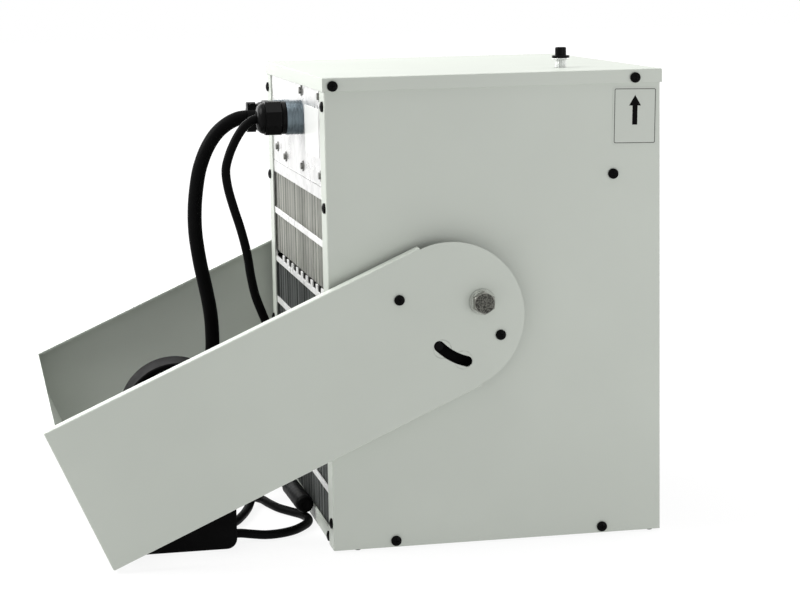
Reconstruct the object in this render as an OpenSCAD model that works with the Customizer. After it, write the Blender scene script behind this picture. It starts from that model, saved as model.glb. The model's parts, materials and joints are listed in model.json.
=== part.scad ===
// Industrial fan heater with a tilting wall bracket and a wired control unit.
// Millimetres. +Z up, the air outlet faces -Y, the air intake and the cables face +Y.
// The origin is on the floor, below the middle of the casing.

/* [Casing] */
// Width of the casing, across the air stream
body_w = 370; // [360:1:420]
// Depth of the casing, along the air stream
body_d = 322; // [316:1:360]
// Height of the casing, from the lower edge of the side panels to the top of the lid
body_h = 446; // [440:1:480]
// Thickness of the casing sheets
sheet_t = 1.5; // [1:0.1:2]
// Height of the feet under the base
foot_h = 2; // [1:0.5:6]
// Diameter of a foot
foot_d = 5.5; // [4:0.5:6]
// Distance of a foot from its side edge, and of the front feet from the front edge
foot_edge = 7; // [6.8:0.1:7.2]
// Distance of the rear feet from the rear edge
foot_rear = 24; // [20:1:30]
// Height of the lid's skirt
skirt_h = 13; // [12:1:24]
// Width of the flange folded in at the rear of each side panel
rear_flange = 26; // [24:1:30]
// Width of the flange folded in at the front of each side panel
front_flange = 16; // [10:1:20]
// Height of the upstand folded up around the base pan
pan_lip = 14; // [13:1:20]
// Height of the electrics bay, from the divider shelf's underside to the top of the lid
bay_h = 104.5; // [98:0.5:110]
// Height of the flange folded down at the rear of the divider shelf
shelf_lip = 13; // [8:1:20]

/* [Intake] */
// Distance between neighbouring intake fins
fin_pitch = 8; // [7:0.5:12]
// Thickness of an intake fin
fin_t = 0.8; // [0.5:0.1:1.5]
// Depth of an intake fin, along the air stream
fin_depth = 14; // [8:1:15]
// Height of the upper fin bay, from the middle rail's upper edge to the divider shelf
upper_bay_h = 97.5; // [90:0.5:110]
// Height of the middle rail's face
mid_rail_h = 11.5; // [10:0.5:16]
// Width of a slot in the middle rail
rail_slot_w = 20; // [10:1:24]
// Distance between neighbouring slots in the middle rail
rail_slot_pitch = 31; // [26:1:40]
// Height of a thin bar across the intake fins
bar_h = 6.5; // [4:0.5:8]

/* [Outlet] */
// Number of louvre vanes
vane_count = 6; // [4:1:6]
// Width of a louvre vane, along the air stream
vane_chord = 50; // [40:1:52]
// Thickness of a louvre vane
vane_t = 2; // [1.5:0.1:3]
// Diameter of a vane's pivot pin
vane_pin_d = 6; // [5:0.5:8]

/* [Fan] */
// Diameter of the fan, over the blades
fan_d = 270; // [240:1:276]
// Gap between the blade tips and the shroud ring
tip_gap = 4; // [3:0.5:8]
// Number of fan blades
blade_count = 5; // [4:1:6]
// Thickness of a fan blade
blade_t = 2; // [1.5:0.1:3]
// Pitch of the fan blades
blade_pitch = 28; // [20:1:34]
// Length of the shroud ring
ring_l = 30; // [20:1:34]
// Diameter of the fan's hub
hub_d = 70; // [60:1:80]
// Diameter of the motor shaft
shaft_d = 12; // [10:1:14]
// Diameter of the motor's housing
motor_d = 96; // [86:1:110]
// Length of the motor's housing
motor_l = 62; // [50:1:62]
// Outer diameter of the motor's bearings
bearing_d = 28; // [26:1:32]

/* [Heating elements] */
// Diameter of the heating tubes
tube_d = 8; // [6:0.5:9]
// Distance between the two legs of a heating tube
leg_gap = 24; // [20:1:26]
// Distance between neighbouring heating tubes
tube_pitch = 48; // [44:1:50]

/* [Tilt bracket] */
// Distance from the pivot to the outer face of the bracket's web
arm_l = 415.5; // [400:0.5:440]
// Width of the bracket's arms
arm_w = 145; // [140:1:150]
// Thickness of the bracket's sheet
arm_t = 2; // [1.5:0.1:3]
// Gap between a side panel and the inner face of its arm
arm_gap = 16; // [14:0.5:20]
// Width of the flanges folded in along the bracket's edges
arm_flange = 12; // [8:1:12]
// Angle of the arms below the horizontal at rest
tilt = 23.8; // [22:0.1:24]
// Height of the pivot above the lower edge of the panels
pivot_h = 234.5; // [234:0.5:250]
// Distance of the pivot behind the middle of the casing
pivot_y = 18.5; // [15:0.5:20]
// Distance from the pivot to the centre of the arm's round end
end_offset = 32.6; // [28:0.1:35]
// Radius of the arc slot, about the pivot
slot_r = 57.9; // [55:0.1:60]
// Width of the arc slot
slot_w = 10.3; // [9.5:0.1:12]
// Angle from the arm's centre line to the first end of the arc slot
slot_from = 20.3; // [18:0.1:22]
// Angle that the arc slot allows
slot_span = 30.7; // [28:0.1:34]
// Diameter of the stop stud in the arc slot
stud_d = 8.3; // [7:0.1:8.5]
// Diameter of the pivot bolt
bolt_d = 12; // [10:1:12]
// Size of the pivot bolt's hexagon, across its flats
bolt_af = 19; // [17:0.5:19]
// Diameter of the pivot washers
washer_d = 24; // [22:0.5:26]
// Radius of the spacer pad behind the arm's round end
pad_r = 62; // [60:1:66]
// Distance from the pivot to the centre of the spacer pad
pad_offset = 33.5; // [28:0.1:35]
// Distance of the pad's screws from its centre, along the arm and across it
pad_screw = 36.5; // [35:0.5:38]
// Diameter of the wall fixing holes in the bracket's web
wall_hole_d = 9; // [7:0.5:11]
// Distance between the two wall fixing holes
wall_hole_gap = 240; // [160:5:280]

/* [Screws and labels] */
// Diameter of a casing screw's head
head_d = 9.8; // [8:0.1:11]
// Height of a casing screw's head
head_h = 2.8; // [2:0.1:3.5]
// Diameter of a casing screw's shank
shank_d = 4; // [3:0.1:5]
// Diameter of a star washer
star_d = 9; // [8:0.1:11]
// Width of the label beside the reset button
label_w = 45; // [40:1:48]
// Height of the label beside the reset button
label_h = 57; // [50:0.5:60]

/* [Reset button] */
// Distance of the reset button from the middle of the casing, towards the left panel
reset_x = 118.5; // [100:0.5:130]
// Distance of the reset button in front of the middle of the casing
reset_y = 82.5; // [70:0.5:90]
// Diameter of the button's cap and of the neck below it
cap_d = 10.8; // [9:0.1:12]
// Diameter of the collar around the button
collar_d = 17; // [15:0.1:20]
// Height of the neck above the lid
neck_h = 9.2; // [7:0.1:12]
// How far the button travels
reset_travel = 2; // [1.5:0.1:2]

/* [Cable glands] */
// Distance of each gland from the middle of the casing
gland_x = 40; // [36:1:46]
// Distance of the control cord's gland below the top of the lid
control_gland_drop = 45.5; // [40:0.5:50]
// Distance of the power cord's gland below the top of the lid
power_gland_drop = 49.5; // [42:0.5:52]
// Diameter of a gland's zinc sleeve
sleeve_d = 33.6; // [30:0.1:36]
// Length of a gland's zinc sleeve
sleeve_l = 16; // [12:0.5:20]
// Length of the black part of the control cord's gland
control_gland_l = 28.5; // [24:0.5:30]
// Length of the black part of the power cord's gland
power_gland_l = 19; // [18.5:0.5:24]
// Diameter of the power cord
power_d = 14.5; // [13:0.1:15]
// Diameter of the control cord
control_d = 8.8; // [8:0.1:9]

/* [Control unit] */
// Width of the control unit
unit_w = 105; // [100:1:108]
// Height of the control unit
unit_h = 183; // [176:1:190]
// Thickness of the control unit
unit_t = 42; // [40:1:48]
// Distance of the control unit's face from the middle of the casing
unit_x = 145; // [144:0.5:147]
// Distance of the control unit's middle behind the middle of the casing
unit_y = 300; // [300:0.5:301]
// Wall of the control unit's shells
unit_wall = 2.5; // [2:0.1:3]
// Diameter of the thermostat knob
dial_d = 44; // [36:1:48]
// Diameter of the selector knob
selector_d = 36; // [30:1:40]
// Height of a control knob
knob_h = 16; // [12:1:18]
// Diameter of a control knob's shaft
knob_shaft_d = 6; // [5:0.5:7]

/* [Fits] */
// Radial clearance of a pin or shaft that turns in its hole
run_fit = 0.05; // [0.02:0.01:0.09]
// Gap left between faces that slide past each other
slide_gap = 0.3; // [0.2:0.05:0.5]
// Radial clearance around a screw's shank
shank_fit = 0.1; // [0.05:0.05:0.3]

/* [Hidden] */
$fn = 48;

// Casing planes
half_w = body_w / 2;
half_d = body_d / 2;
in_w = half_w - sheet_t;
in_y = half_d - sheet_t;
lip_w = in_w - sheet_t;
seat_y = in_y - sheet_t;
lid_top = foot_h + body_h;
lid_under = lid_top - sheet_t;
pan_top = foot_h + sheet_t;
shelf_under = lid_top - bay_h;
shelf_top = shelf_under + sheet_t;
shelf_side_h = 12;
shelf_flange_low = shelf_top - shelf_lip;

// Screw places: height, and the distance behind the middle of the casing
lid_screw_z = lid_top - 8;
lid_screw_y = [half_d - 8, -half_d + 25];
pan_screw_z = foot_h + 6;
pan_screw_y = [101, -102];
shelf_screw_z = shelf_top + 5;
shelf_screw_y = -114.5;
rear_screw_x = half_w - 8;
rear_screw_z = [foot_h + 25, foot_h + 168, shelf_flange_low - 5, lid_top - 27];
pan_rear_screw_x = half_w - 34.5;
screw_l = 2 * sheet_t + 4;
star_z = [lid_top - 19, shelf_top + 10];
star_x = [-half_w + 31.5, -half_w + 139.5];
star_far = [[67, shelf_top + 10], [123, shelf_top + 16]];
star_h = 3;

// Intake
fin_y = seat_y - 0.3;
fin_half = floor((in_w - 6) / fin_pitch);
rail_top = shelf_under - upper_bay_h;
rail_low = rail_top - mid_rail_h;
rail_web_z = rail_low + 3.5;
rail_slot_h = 6;
rail_slot_half = floor((half_w - rear_flange - rail_slot_w / 2) / rail_slot_pitch);
bar_upper_drop = 53.5;
bar_lower_drops = [42, 111.8];
bar_low = 51;
bar_upper_z = [shelf_under - bar_upper_drop];
bar_lower_z = [for (drop = bar_lower_drops) rail_low - drop, foot_h + bar_low];

// Outlet
vane_room = shelf_under - pan_top;
vane_pitch = vane_room / vane_count;
vane_y = -in_y + vane_chord / 2 + 1.5;
vane_half = in_w - 8;
carrier_t = 1.5;
carrier_x = lip_w - 2.5;
carrier_d = 30;

// Fan
duct_z = (pan_top + shelf_under) / 2;
shroud_y = pivot_y + 21;
ring_r = fan_d / 2 + tip_gap;
strap_y = seat_y - fin_depth - 6;
motor_y = strap_y - motor_l;
bearing_l = 9;
hub_l = 26;
hub_y = shroud_y + 1;
blade_arc_r = 130;
blade_chord = 74;
strap_w = 84;

// Heating elements
tube_rows = [-82, -44, -6];
tube_half = 3;
tube_low = foot_h + 46;
support_z = foot_h + 78;
stud_top = shelf_top + 20;

// Bracket
pivot_z = foot_h + pivot_h;
arm_in = half_w + arm_gap;
arm_out = arm_in + arm_t;
arm_bore_d = bolt_d + 2 * run_fit;
stop_a = tilt + slot_from;
stop_y = pivot_y + slot_r * cos(stop_a);
stop_z = pivot_z - slot_r * sin(stop_a);
washer_t = 1.6;
spring_washer_t = 2.4;
bolt_head_h = 7.5;
foot_rim = 1.4;
plate_w = 36;
plate_h = 60;
plate_t = 4;
nut_h = 8;

// Reset
neck_top = lid_top + neck_h;
collar_h = 2.4;
cap_low = neck_top + reset_travel + 0.2;
cap_top = lid_top + 19.5;
stem_d = 5;
cutout_top = lid_top - 22;
cutout_h = 26;

// Glands
control_z = lid_top - control_gland_drop;
power_z = lid_top - power_gland_drop;
sleeve_end = in_y + sleeve_l;
spigot_d = 25;
control_mouth = sleeve_end + control_gland_l;
power_mouth = sleeve_end + power_gland_l;
cord_seat = 11;
dome_l = 7;
clamp_l = 8.5;

// Control unit
unit_r = unit_w / 2;
unit_arch_z = unit_h - unit_r;
unit_split = unit_x - 15;
unit_back = unit_x - unit_t;
unit_side = unit_y - unit_r;
unit_corner = 10;
dial_z = 118;
selector_z = 56;
entry_x = 120;
entry_z = 8.5;
grommet_d = control_d + 4;
entry_l = 9;

// Route of the control cord, from inside its gland to the side of the control unit
control_route = [[-40, 194, 402.5], [-40, 202, 402.5], [-40, 209.5, 400], [-40, 216.5, 394.5],
    [-40, 222.5, 386.5], [-40, 227.5, 377.5], [-40, 232, 367], [-40, 235.5, 353], [-40, 234, 336],
    [-40, 229, 316], [-40, 222.5, 294],
    [-40, 217, 270], [-40, 214, 248], [-40, 210, 228], [-40, 203, 208], [-36, 196, 190],
    [-27, 191, 170], [-13, 189, 148], [5, 189, 126], [24, 190, 104], [41, 192, 82], [50, 196, 60],
    [48, 201, 40], [37, 206, 23], [20, 211, 11], [0, 217, 5.5], [-20, 223, 4.6], [-40, 230, 4.6],
    [-60, 239, 4.6], [-76, 252, 4.6], [-86, 270, 4.6], [-88, 291, 4.6], [-81, 311, 4.6],
    [-66, 327, 4.6], [-45, 336, 4.6], [-20, 338, 4.6], [5, 333, 4.6], [28, 322, 4.6],
    [47, 305, 4.6], [59, 283, 4.6], [63, 259, 4.6], [58, 236, 4.6], [46, 216, 4.6],
    [28, 202, 4.6], [6, 196, 4.6], [-16, 189, 4.6], [-34, 179, 4.6], [-48, 171, 4.6],
    [-64, 167, 4.6], [-80, 169, 4.6], [-95, 177, 4.6], [-108, 188, 4.6], [-116, 202, 4.6],
    [-119, 217, 5], [-120, 231, 7], [-120, 241.5, 8.5], [-120, 251, 8.5]];

// Route of the power cord, from inside its gland to its capped end
power_route = [[40, 185, 398.5], [40, 204, 398.5], [40, 214, 396.8], [40, 224.5, 391.5],
    [40, 234.5, 383], [40, 243, 371], [40, 249.5, 357], [40, 254.5, 340], [40, 258.5, 312],
    [40, 259, 284], [40, 255.5, 254], [40, 250.5, 227], [40, 246.5, 203], [40.5, 245, 180],
    [43, 245.5, 157], [49, 250, 133], [60, 259, 109], [77, 266, 86], [98, 268, 65],
    [120, 263, 47], [139, 250, 33], [151, 231, 22], [153, 210, 13.5], [145, 191, 9],
    [129, 177.5, 7.6], [106, 170.5, 8.3], [80, 169.5, 11], [59, 169.5, 13.6], [38, 169.5, 15.2],
    [10, 169.5, 16.2], [-18, 169.5, 17.2], [-46, 169.5, 18.2], [-60, 169.5, 18.7]];
cap_len = 92;
cap_wall = 1.75;

function unit(v) = v / norm(v);

// Direction of a route at each of its points
function headings(p) = [for (i = [0:len(p) - 1])
    unit(i == 0 ? p[1] - p[0] : i == len(p) - 1 ? p[i] - p[i - 1] : p[i + 1] - p[i - 1])];

// A side direction carried along the headings without twist
function sides(t, first) = [for (i = 0, s = unit(first - (first * t[0]) * t[0]); i < len(t);
    s = i + 1 < len(t) ? unit(s - (s * t[i + 1]) * t[i + 1]) : s, i = i + 1) s];

// One tube through the points of a route
module tube(route, d, n) {
    t = headings(route);
    s = sides(t, [1, 0.2, 0.1]);
    rings = len(route);
    points = [for (i = [0:rings - 1]) for (k = [0:n - 1])
        let (a = 360 * (k + 0.5) / n, u = cross(t[i], s[i]))
        route[i] + d / 2 * (s[i] * cos(a) + u * sin(a))];
    walls = [for (i = [0:rings - 2]) for (k = [0:n - 1])
        let (m = (k + 1) % n)
        each [[i * n + k, (i + 1) * n + k, (i + 1) * n + m], [i * n + k, (i + 1) * n + m, i * n + m]]];
    ends = [[for (k = [0:n - 1]) k], [for (k = [n - 1:-1:0]) (rings - 1) * n + k]];
    polyhedron(points, concat(walls, ends));
}

// A box given by its low and high corners
module block(low, high) {
    translate(low) cube(high - low);
}

// A cylinder between two places on the X axis
module rod_x(x0, x1, y, z, d) {
    translate([min(x0, x1), y, z]) rotate([0, 90, 0]) cylinder(d = d, h = abs(x1 - x0));
}

// A cylinder between two places on the Y axis
module rod_y(y0, y1, x, z, d) {
    translate([x, max(y0, y1), z]) rotate([90, 0, 0]) cylinder(d = d, h = abs(y1 - y0));
}

module both_sides() {
    children();
    mirror([1, 0, 0]) children();
}

// Shanks of the screws that go in from the left side
module side_shanks(extra) {
    d = shank_d + 2 * extra;
    out = -half_w - 10 * extra;
    for (y = lid_screw_y) rod_x(out - sheet_t, -half_w + 4, y, lid_screw_z, d);
    for (y = pan_screw_y) rod_x(out, -half_w + screw_l, y, pan_screw_z, d);
    rod_x(out, -half_w + screw_l, shelf_screw_y, shelf_screw_z, d);
}

// Shanks of the screws that go in from the rear
module rear_shanks(extra) {
    d = shank_d + 2 * extra;
    for (x = [-rear_screw_x, rear_screw_x], z = rear_screw_z) {
        rod_y(half_d + 10 * extra, fin_y + 0.2 - 10 * extra, x, z, d);
    }
    rod_y(in_y + 10 * extra, fin_y + 0.2 - 10 * extra, -pan_rear_screw_x, pan_screw_z, d);
}

module star_shanks(extra) {
    for (x = star_x, z = star_z) rod_y(in_y + 10 * extra, in_y - 5, x, z, shank_d + 2 * extra);
    for (q = star_far) rod_y(in_y + 10 * extra, in_y - 5, q[0], q[1], shank_d + 2 * extra);
}

// Pan head with a rounded crown and a cross recess, standing on z = 0
module pan_head() {
    difference() {
        intersection() {
            cylinder(d = head_d, h = head_h);
            translate([0, 0, head_h - head_d]) sphere(r = head_d, $fn = 64);
        }
        for (a = [0, 90]) rotate(a) translate([-2.4, -0.5, head_h - 1.3]) cube([4.8, 1, 2]);
    }
}

module base_pan() {
    color("whitesmoke") difference() {
        union() {
            block([-in_w, -in_y, foot_h], [in_w, in_y, pan_top]);
            for (x = [-in_w, in_w - sheet_t]) {
                block([x, -in_y, pan_top], [x + sheet_t, in_y, foot_h + pan_lip]);
            }
            block([-in_w, seat_y, pan_top], [in_w, in_y, foot_h + pan_lip]);
            block([-in_w, -in_y, pan_top], [in_w, -seat_y, foot_h + pan_lip]);
        }
        both_sides() side_shanks(shank_fit);
        rear_shanks(shank_fit);
        feet_at() cylinder(d = foot_d + 2 * shank_fit, h = 20, center = true);
    }
}

module feet_at() {
    for (x = [-1, 1], y = [-half_d + foot_edge + 2, half_d - foot_rear]) {
        translate([x * (half_w - foot_edge), y, foot_h]) children();
    }
}

// The left side panel; the right one is its mirror image
module side_panel() {
    color("whitesmoke") difference() {
        union() {
            block([-half_w, -half_d, foot_h], [-in_w, half_d, lid_under]);
            block([-in_w, in_y, foot_h], [-half_w + rear_flange, half_d, lid_under]);
            block([-in_w, -half_d, foot_h], [-half_w + front_flange, -in_y, lid_under]);
        }
        side_shanks(shank_fit);
        rear_shanks(shank_fit);
        rod_x(-half_w - 1, -in_w + 1, pivot_y, pivot_z, bolt_d + 2 * run_fit);
        rod_x(-half_w - 1, -in_w + 1, stop_y, stop_z, stud_d + 2 * run_fit);
    }
}

module side_panel_left() {
    side_panel();
}

module side_panel_right() {
    mirror([1, 0, 0]) side_panel();
}

module top_lid() {
    lap_w = half_w + sheet_t;
    lap_d = half_d + sheet_t;
    low = lid_top - skirt_h;
    color("whitesmoke") difference() {
        block([-lap_w, -lap_d, low], [lap_w, lap_d, lid_top]);
        block([-half_w, -half_d, low - 1], [half_w, half_d, lid_under]);
        both_sides() side_shanks(shank_fit);
        translate([-reset_x, -reset_y, lid_under - 1]) cylinder(d = cap_d + 2 * shank_fit, h = 4);
    }
}

module front_panel() {
    color("whitesmoke")
        block([-in_w, -in_y, shelf_top], [in_w, -in_y + sheet_t, lid_under]);
}

// Galvanised plate that carries the glands
module rear_plate() {
    color("gainsboro") difference() {
        block([-in_w + 1, seat_y, shelf_top], [in_w - 1, in_y, lid_under]);
        glands_at() rod_y(seat_y - 1, in_y + 1, 0, 0, spigot_d + 2 * shank_fit);
        rear_shanks(shank_fit);
        star_shanks(shank_fit);
    }
}

// Shelf between the electrics and the air duct, with a folded rear lip and side flanges
module divider_shelf() {
    color("gainsboro") difference() {
        union() {
            block([-in_w, -in_y, shelf_under], [in_w, in_y, shelf_top]);
            block([-in_w + 1, seat_y, shelf_flange_low], [in_w - 1, in_y, shelf_under]);
            for (x = [-in_w, in_w - sheet_t]) {
                block([x, -seat_y + 1, shelf_top], [x + sheet_t, seat_y - 1, shelf_top + shelf_side_h]);
            }
        }
        both_sides() side_shanks(shank_fit);
        for (row = tube_rows, i = [-tube_half:tube_half], s = [-1, 1]) {
            translate([i * tube_pitch + s * leg_gap / 2, row, shelf_under - 1])
                cylinder(d = tube_d + 2 * shank_fit, h = 4);
        }
    }
}

// Folded rail across the intake, with a row of slots along its upper edge
module mid_rail() {
    color("whitesmoke") difference() {
        union() {
            block([-in_w, seat_y, rail_low], [in_w, in_y, rail_top]);
            block([-in_w, seat_y - fin_depth, rail_web_z], [in_w, seat_y, rail_web_z + sheet_t]);
        }
        for (i = [-rail_slot_half:rail_slot_half]) {
            start = i * rail_slot_pitch - rail_slot_w / 2;
            wide = i == rail_slot_half ? half_w - rear_flange - start : rail_slot_w;
            translate([start, seat_y - 1, rail_top - rail_slot_h])
                cube([wide, sheet_t + 2, rail_slot_h + 1]);
        }
    }
}

module fin_bars() {
    color("whitesmoke") for (z = concat(bar_upper_z, bar_lower_z)) {
        block([-in_w, seat_y, z - bar_h / 2], [in_w, in_y, z + bar_h / 2]);
    }
}

// One bay of upright intake fins
module fins(low, high) {
    color("silver") for (i = [-fin_half:fin_half]) {
        translate([i * fin_pitch - fin_t / 2, fin_y - fin_depth, low]) cube([fin_t, fin_depth, high - low]);
    }
}

module fins_upper() {
    fins(rail_top, shelf_under);
}

module fins_lower() {
    fins(pan_top, rail_web_z);
}

// Upright strip that holds the vanes' pivot pins
module vane_carrier() {
    color("gainsboro") difference() {
        union() {
            block([-lip_w, vane_y - carrier_d / 2, pan_top],
                [-carrier_x, vane_y - carrier_d / 2 + carrier_t, shelf_under]);
            block([-carrier_x - carrier_t, vane_y - carrier_d / 2 + carrier_t, pan_top],
                [-carrier_x, vane_y + carrier_d / 2, shelf_under]);
        }
        for (i = [1:vane_count]) {
            rod_x(-in_w - 1, -carrier_x + 1, vane_y, vane_z(i), vane_pin_d + 2 * run_fit);
        }
    }
}

module vane_carrier_left() {
    vane_carrier();
}

module vane_carrier_right() {
    mirror([1, 0, 0]) vane_carrier();
}

function vane_z(i) = pan_top + (i - 0.5) * vane_pitch;

// Louvre vane: a flat blade with beaded edges and a pivot tube, with a pin at each end
module vane(i) {
    z = vane_z(i);
    if (i <= vane_count) color("gainsboro") {
        block([-vane_half, vane_y - vane_chord / 2 + 1.5, z - vane_t / 2],
            [vane_half, vane_y + vane_chord / 2 - 1.5, z + vane_t / 2]);
        for (s = [-1, 1]) rod_x(-vane_half, vane_half, vane_y + s * (vane_chord / 2 - 1.5), z, vane_t + 1);
        rod_x(-vane_half, vane_half, vane_y, z, vane_pin_d);
        rod_x(-carrier_x - carrier_t, carrier_x + carrier_t, vane_y, z, vane_pin_d);
    }
}

module fan_shroud() {
    color("gainsboro") difference() {
        union() {
            block([-lip_w, shroud_y, pan_top], [lip_w, shroud_y + sheet_t, shelf_under]);
            rod_y(shroud_y, shroud_y + ring_l, 0, duct_z, 2 * (ring_r + sheet_t));
        }
        rod_y(shroud_y - 1, shroud_y + ring_l + 1, 0, duct_z, 2 * ring_r);
    }
}

// Upright strap that carries the motor from the base pan to the shelf
module motor_strap() {
    color("gainsboro") difference() {
        union() {
            block([-strap_w / 2, strap_y, pan_top], [strap_w / 2, strap_y + 2, shelf_under]);
            for (z = [pan_top, shelf_under - 2]) {
                block([-strap_w / 2, strap_y - 18, z], [strap_w / 2, strap_y, z + 2]);
            }
        }
        rod_y(strap_y - 1, strap_y + 3, 0, duct_z, bearing_d);
    }
}

// Motor housing with cooling ribs, bored through for the bearings
module fan_motor() {
    color("dimgray") difference() {
        union() {
            rod_y(motor_y, strap_y, 0, duct_z, motor_d - 8);
            rod_y(motor_y, motor_y + 8, 0, duct_z, motor_d);
            rod_y(strap_y - 8, strap_y, 0, duct_z, motor_d);
            translate([0, strap_y, duct_z]) rotate([90, 0, 0]) for (k = [0:23]) {
                rotate(15 * k) translate([motor_d / 2 - 10, -1, 4]) cube([9, 2, motor_l - 8]);
            }
        }
        rod_y(motor_y - 1, strap_y + 1, 0, duct_z, bearing_d);
    }
}

module motor_bearings() {
    color("silver") for (y = [motor_y + 1, strap_y - bearing_l - 1]) {
        difference() {
            rod_y(y, y + bearing_l, 0, duct_z, bearing_d);
            rod_y(y - 1, y + bearing_l + 1, 0, duct_z, shaft_d + 2 * run_fit);
        }
    }
}

module motor_shaft() {
    color("silver") rod_y(hub_y - 4, strap_y, 0, duct_z, shaft_d);
}

// Sheet-metal fan: a hub with curved blades
module fan_rotor() {
    color("dimgray") translate([0, hub_y + hub_l, duct_z]) rotate([90, 0, 0]) difference() {
        union() {
            cylinder(d = hub_d, h = hub_l);
            intersection() {
                translate([0, 0, -4]) cylinder(d = fan_d, h = hub_l + 20, $fn = 96);
                for (k = [0:blade_count - 1]) rotate(360 / blade_count * k)
                    translate([hub_d / 2 - 4, 0, hub_l / 2 + 6]) rotate([blade_pitch, 0, 0]) blade();
            }
        }
        translate([0, 0, -5]) cylinder(d = shaft_d, h = hub_l + 30);
    }
}

// A blade cut from a shallow cylinder, running out along +X
module blade() {
    intersection() {
        translate([0, 0, -blade_arc_r]) rotate([0, 90, 0]) difference() {
            cylinder(r = blade_arc_r, h = fan_d / 2, $fn = 96);
            translate([0, 0, -1]) cylinder(r = blade_arc_r - blade_t, h = fan_d, $fn = 96);
        }
        block([0, -blade_chord / 2, -20], [fan_d / 2, blade_chord / 2, 5]);
    }
}

// Hairpin heating tubes that hang from the shelf
module heating_elements() {
    color("rosybrown") for (row = tube_rows, i = [-tube_half:tube_half]) {
        translate([i * tube_pitch, row, 0]) {
            for (s = [-1, 1]) translate([s * leg_gap / 2, 0, 0]) {
                translate([0, 0, tube_low]) cylinder(d = tube_d, h = shelf_top + 6 - tube_low);
                translate([0, 0, shelf_top]) cylinder(d = tube_d + 6, h = 4, $fn = 6);
                translate([0, 0, shelf_top + 6]) cylinder(d = tube_d / 2, h = stud_top - shelf_top - 6);
            }
            translate([0, 0, tube_low]) rotate([90, 0, 0])
                rotate_extrude(angle = -180, $fn = 64) translate([leg_gap / 2, 0])
                    circle(d = tube_d, $fn = 32);
        }
    }
}

support_t = 1;
support_lip = 13;

// Sheet that steadies the heating tubes
module element_support() {
    front = tube_rows[0] - 1.5 * tube_d;
    back = tube_rows[2] + 1.5 * tube_d;
    color("gainsboro") difference() {
        union() {
            block([-in_w, front, support_z], [in_w, back, support_z + support_t]);
            for (x = [-in_w, in_w - support_t]) {
                block([x, front, support_z + support_t], [x + support_t, back, support_z + support_lip]);
            }
        }
        for (row = tube_rows, i = [-tube_half:tube_half], s = [-1, 1]) {
            translate([i * tube_pitch + s * leg_gap / 2, row, support_z - 1])
                cylinder(d = tube_d + 2 * shank_fit, h = 3);
        }
    }
}

rail_y = 70;
rail_half = 130;
rail_wall = 1;
rail_hat = 13;
rail_lip = 4;
mount_rail_h = 7.5;

// Hat-section rail for the terminals and contactors
module mounting_rail() {
    color("silver") {
        block([-rail_half, rail_y - rail_hat - rail_wall / 2, shelf_top],
            [rail_half, rail_y + rail_hat + rail_wall / 2, shelf_top + rail_wall]);
        for (s = [-1, 1]) {
            wall = rail_y + s * rail_hat;
            lip = rail_y + s * (rail_hat + (rail_lip + rail_wall) / 2);
            block([-rail_half, wall - rail_wall / 2, shelf_top + rail_wall],
                [rail_half, wall + rail_wall / 2, shelf_top + mount_rail_h]);
            block([-rail_half, lip - rail_lip / 2, shelf_top + mount_rail_h - rail_wall],
                [rail_half, lip + rail_lip / 2, shelf_top + mount_rail_h]);
        }
    }
}

block_z = shelf_top + mount_rail_h;
terminal_x = 20;
terminal_w = 11.4;
terminal_pitch = 12;
terminal_count = 8;
terminal_half = 24;
terminal_h = 38;
terminal_well = 7;
contactor_x = [-125, -75];
contactor_w = 45;
contactor_half = 38;
contactor_h = 52;
contactor_top = 74;

// Row of clamp terminals
module terminal_block() {
    end = terminal_x + (terminal_count - 1) * terminal_pitch + terminal_w;
    color("lightgray") difference() {
        union() {
            for (i = [0:terminal_count - 1]) {
                x = terminal_x + i * terminal_pitch;
                block([x, rail_y - terminal_half, block_z],
                    [x + terminal_w, rail_y + terminal_half, block_z + terminal_h]);
            }
            block([terminal_x, rail_y - terminal_half / 4, block_z],
                [end, rail_y + terminal_half / 4, block_z + terminal_h / 2]);
        }
        for (i = [0:terminal_count - 1], s = [-1, 1]) {
            translate([terminal_x + terminal_w / 2 + i * terminal_pitch, rail_y + s * terminal_half * 5 / 8,
                block_z + terminal_h * 2 / 3]) cylinder(d = terminal_well, h = terminal_h, $fn = 24);
        }
    }
}

module contactors() {
    inset = contactor_w / 6;
    color("dimgray") for (x = contactor_x) {
        difference() {
            union() {
                block([x, rail_y - contactor_half, block_z],
                    [x + contactor_w, rail_y + contactor_half, block_z + contactor_h]);
                block([x + inset, rail_y - contactor_half / 2, block_z + contactor_h],
                    [x + contactor_w - inset, rail_y + contactor_half / 2, block_z + contactor_top]);
            }
            for (i = [-1:1], s = [-1, 1]) {
                translate([x + contactor_w / 2 + i * 0.3 * contactor_w, rail_y + s * contactor_half * 4 / 5,
                    block_z + contactor_h * 4 / 5]) cylinder(d = terminal_well, h = contactor_h, $fn = 24);
            }
        }
    }
}

cutout_half = 20;
cutout_set = 14;
cutout_sheet = 2;
cutout_foot = 12;

// Upright angle that carries the over-temperature cut-out
module cutout_bracket() {
    y = -reset_y + cutout_set;
    color("gainsboro") {
        block([-reset_x - cutout_half, y, shelf_top],
            [-reset_x + cutout_half, y + cutout_sheet, cutout_top]);
        block([-reset_x - cutout_half, y + cutout_sheet, shelf_top],
            [-reset_x + cutout_half, y + cutout_foot, shelf_top + cutout_sheet]);
    }
}

module cutout_body() {
    color("dimgray") translate([-reset_x, -reset_y, cutout_top - cutout_h]) difference() {
        translate([-18, -14, 0]) cube([36, 28, cutout_h]);
        translate([0, 0, cutout_h - 9]) cylinder(d = stem_d + 2 * run_fit, h = 10);
    }
}

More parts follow.
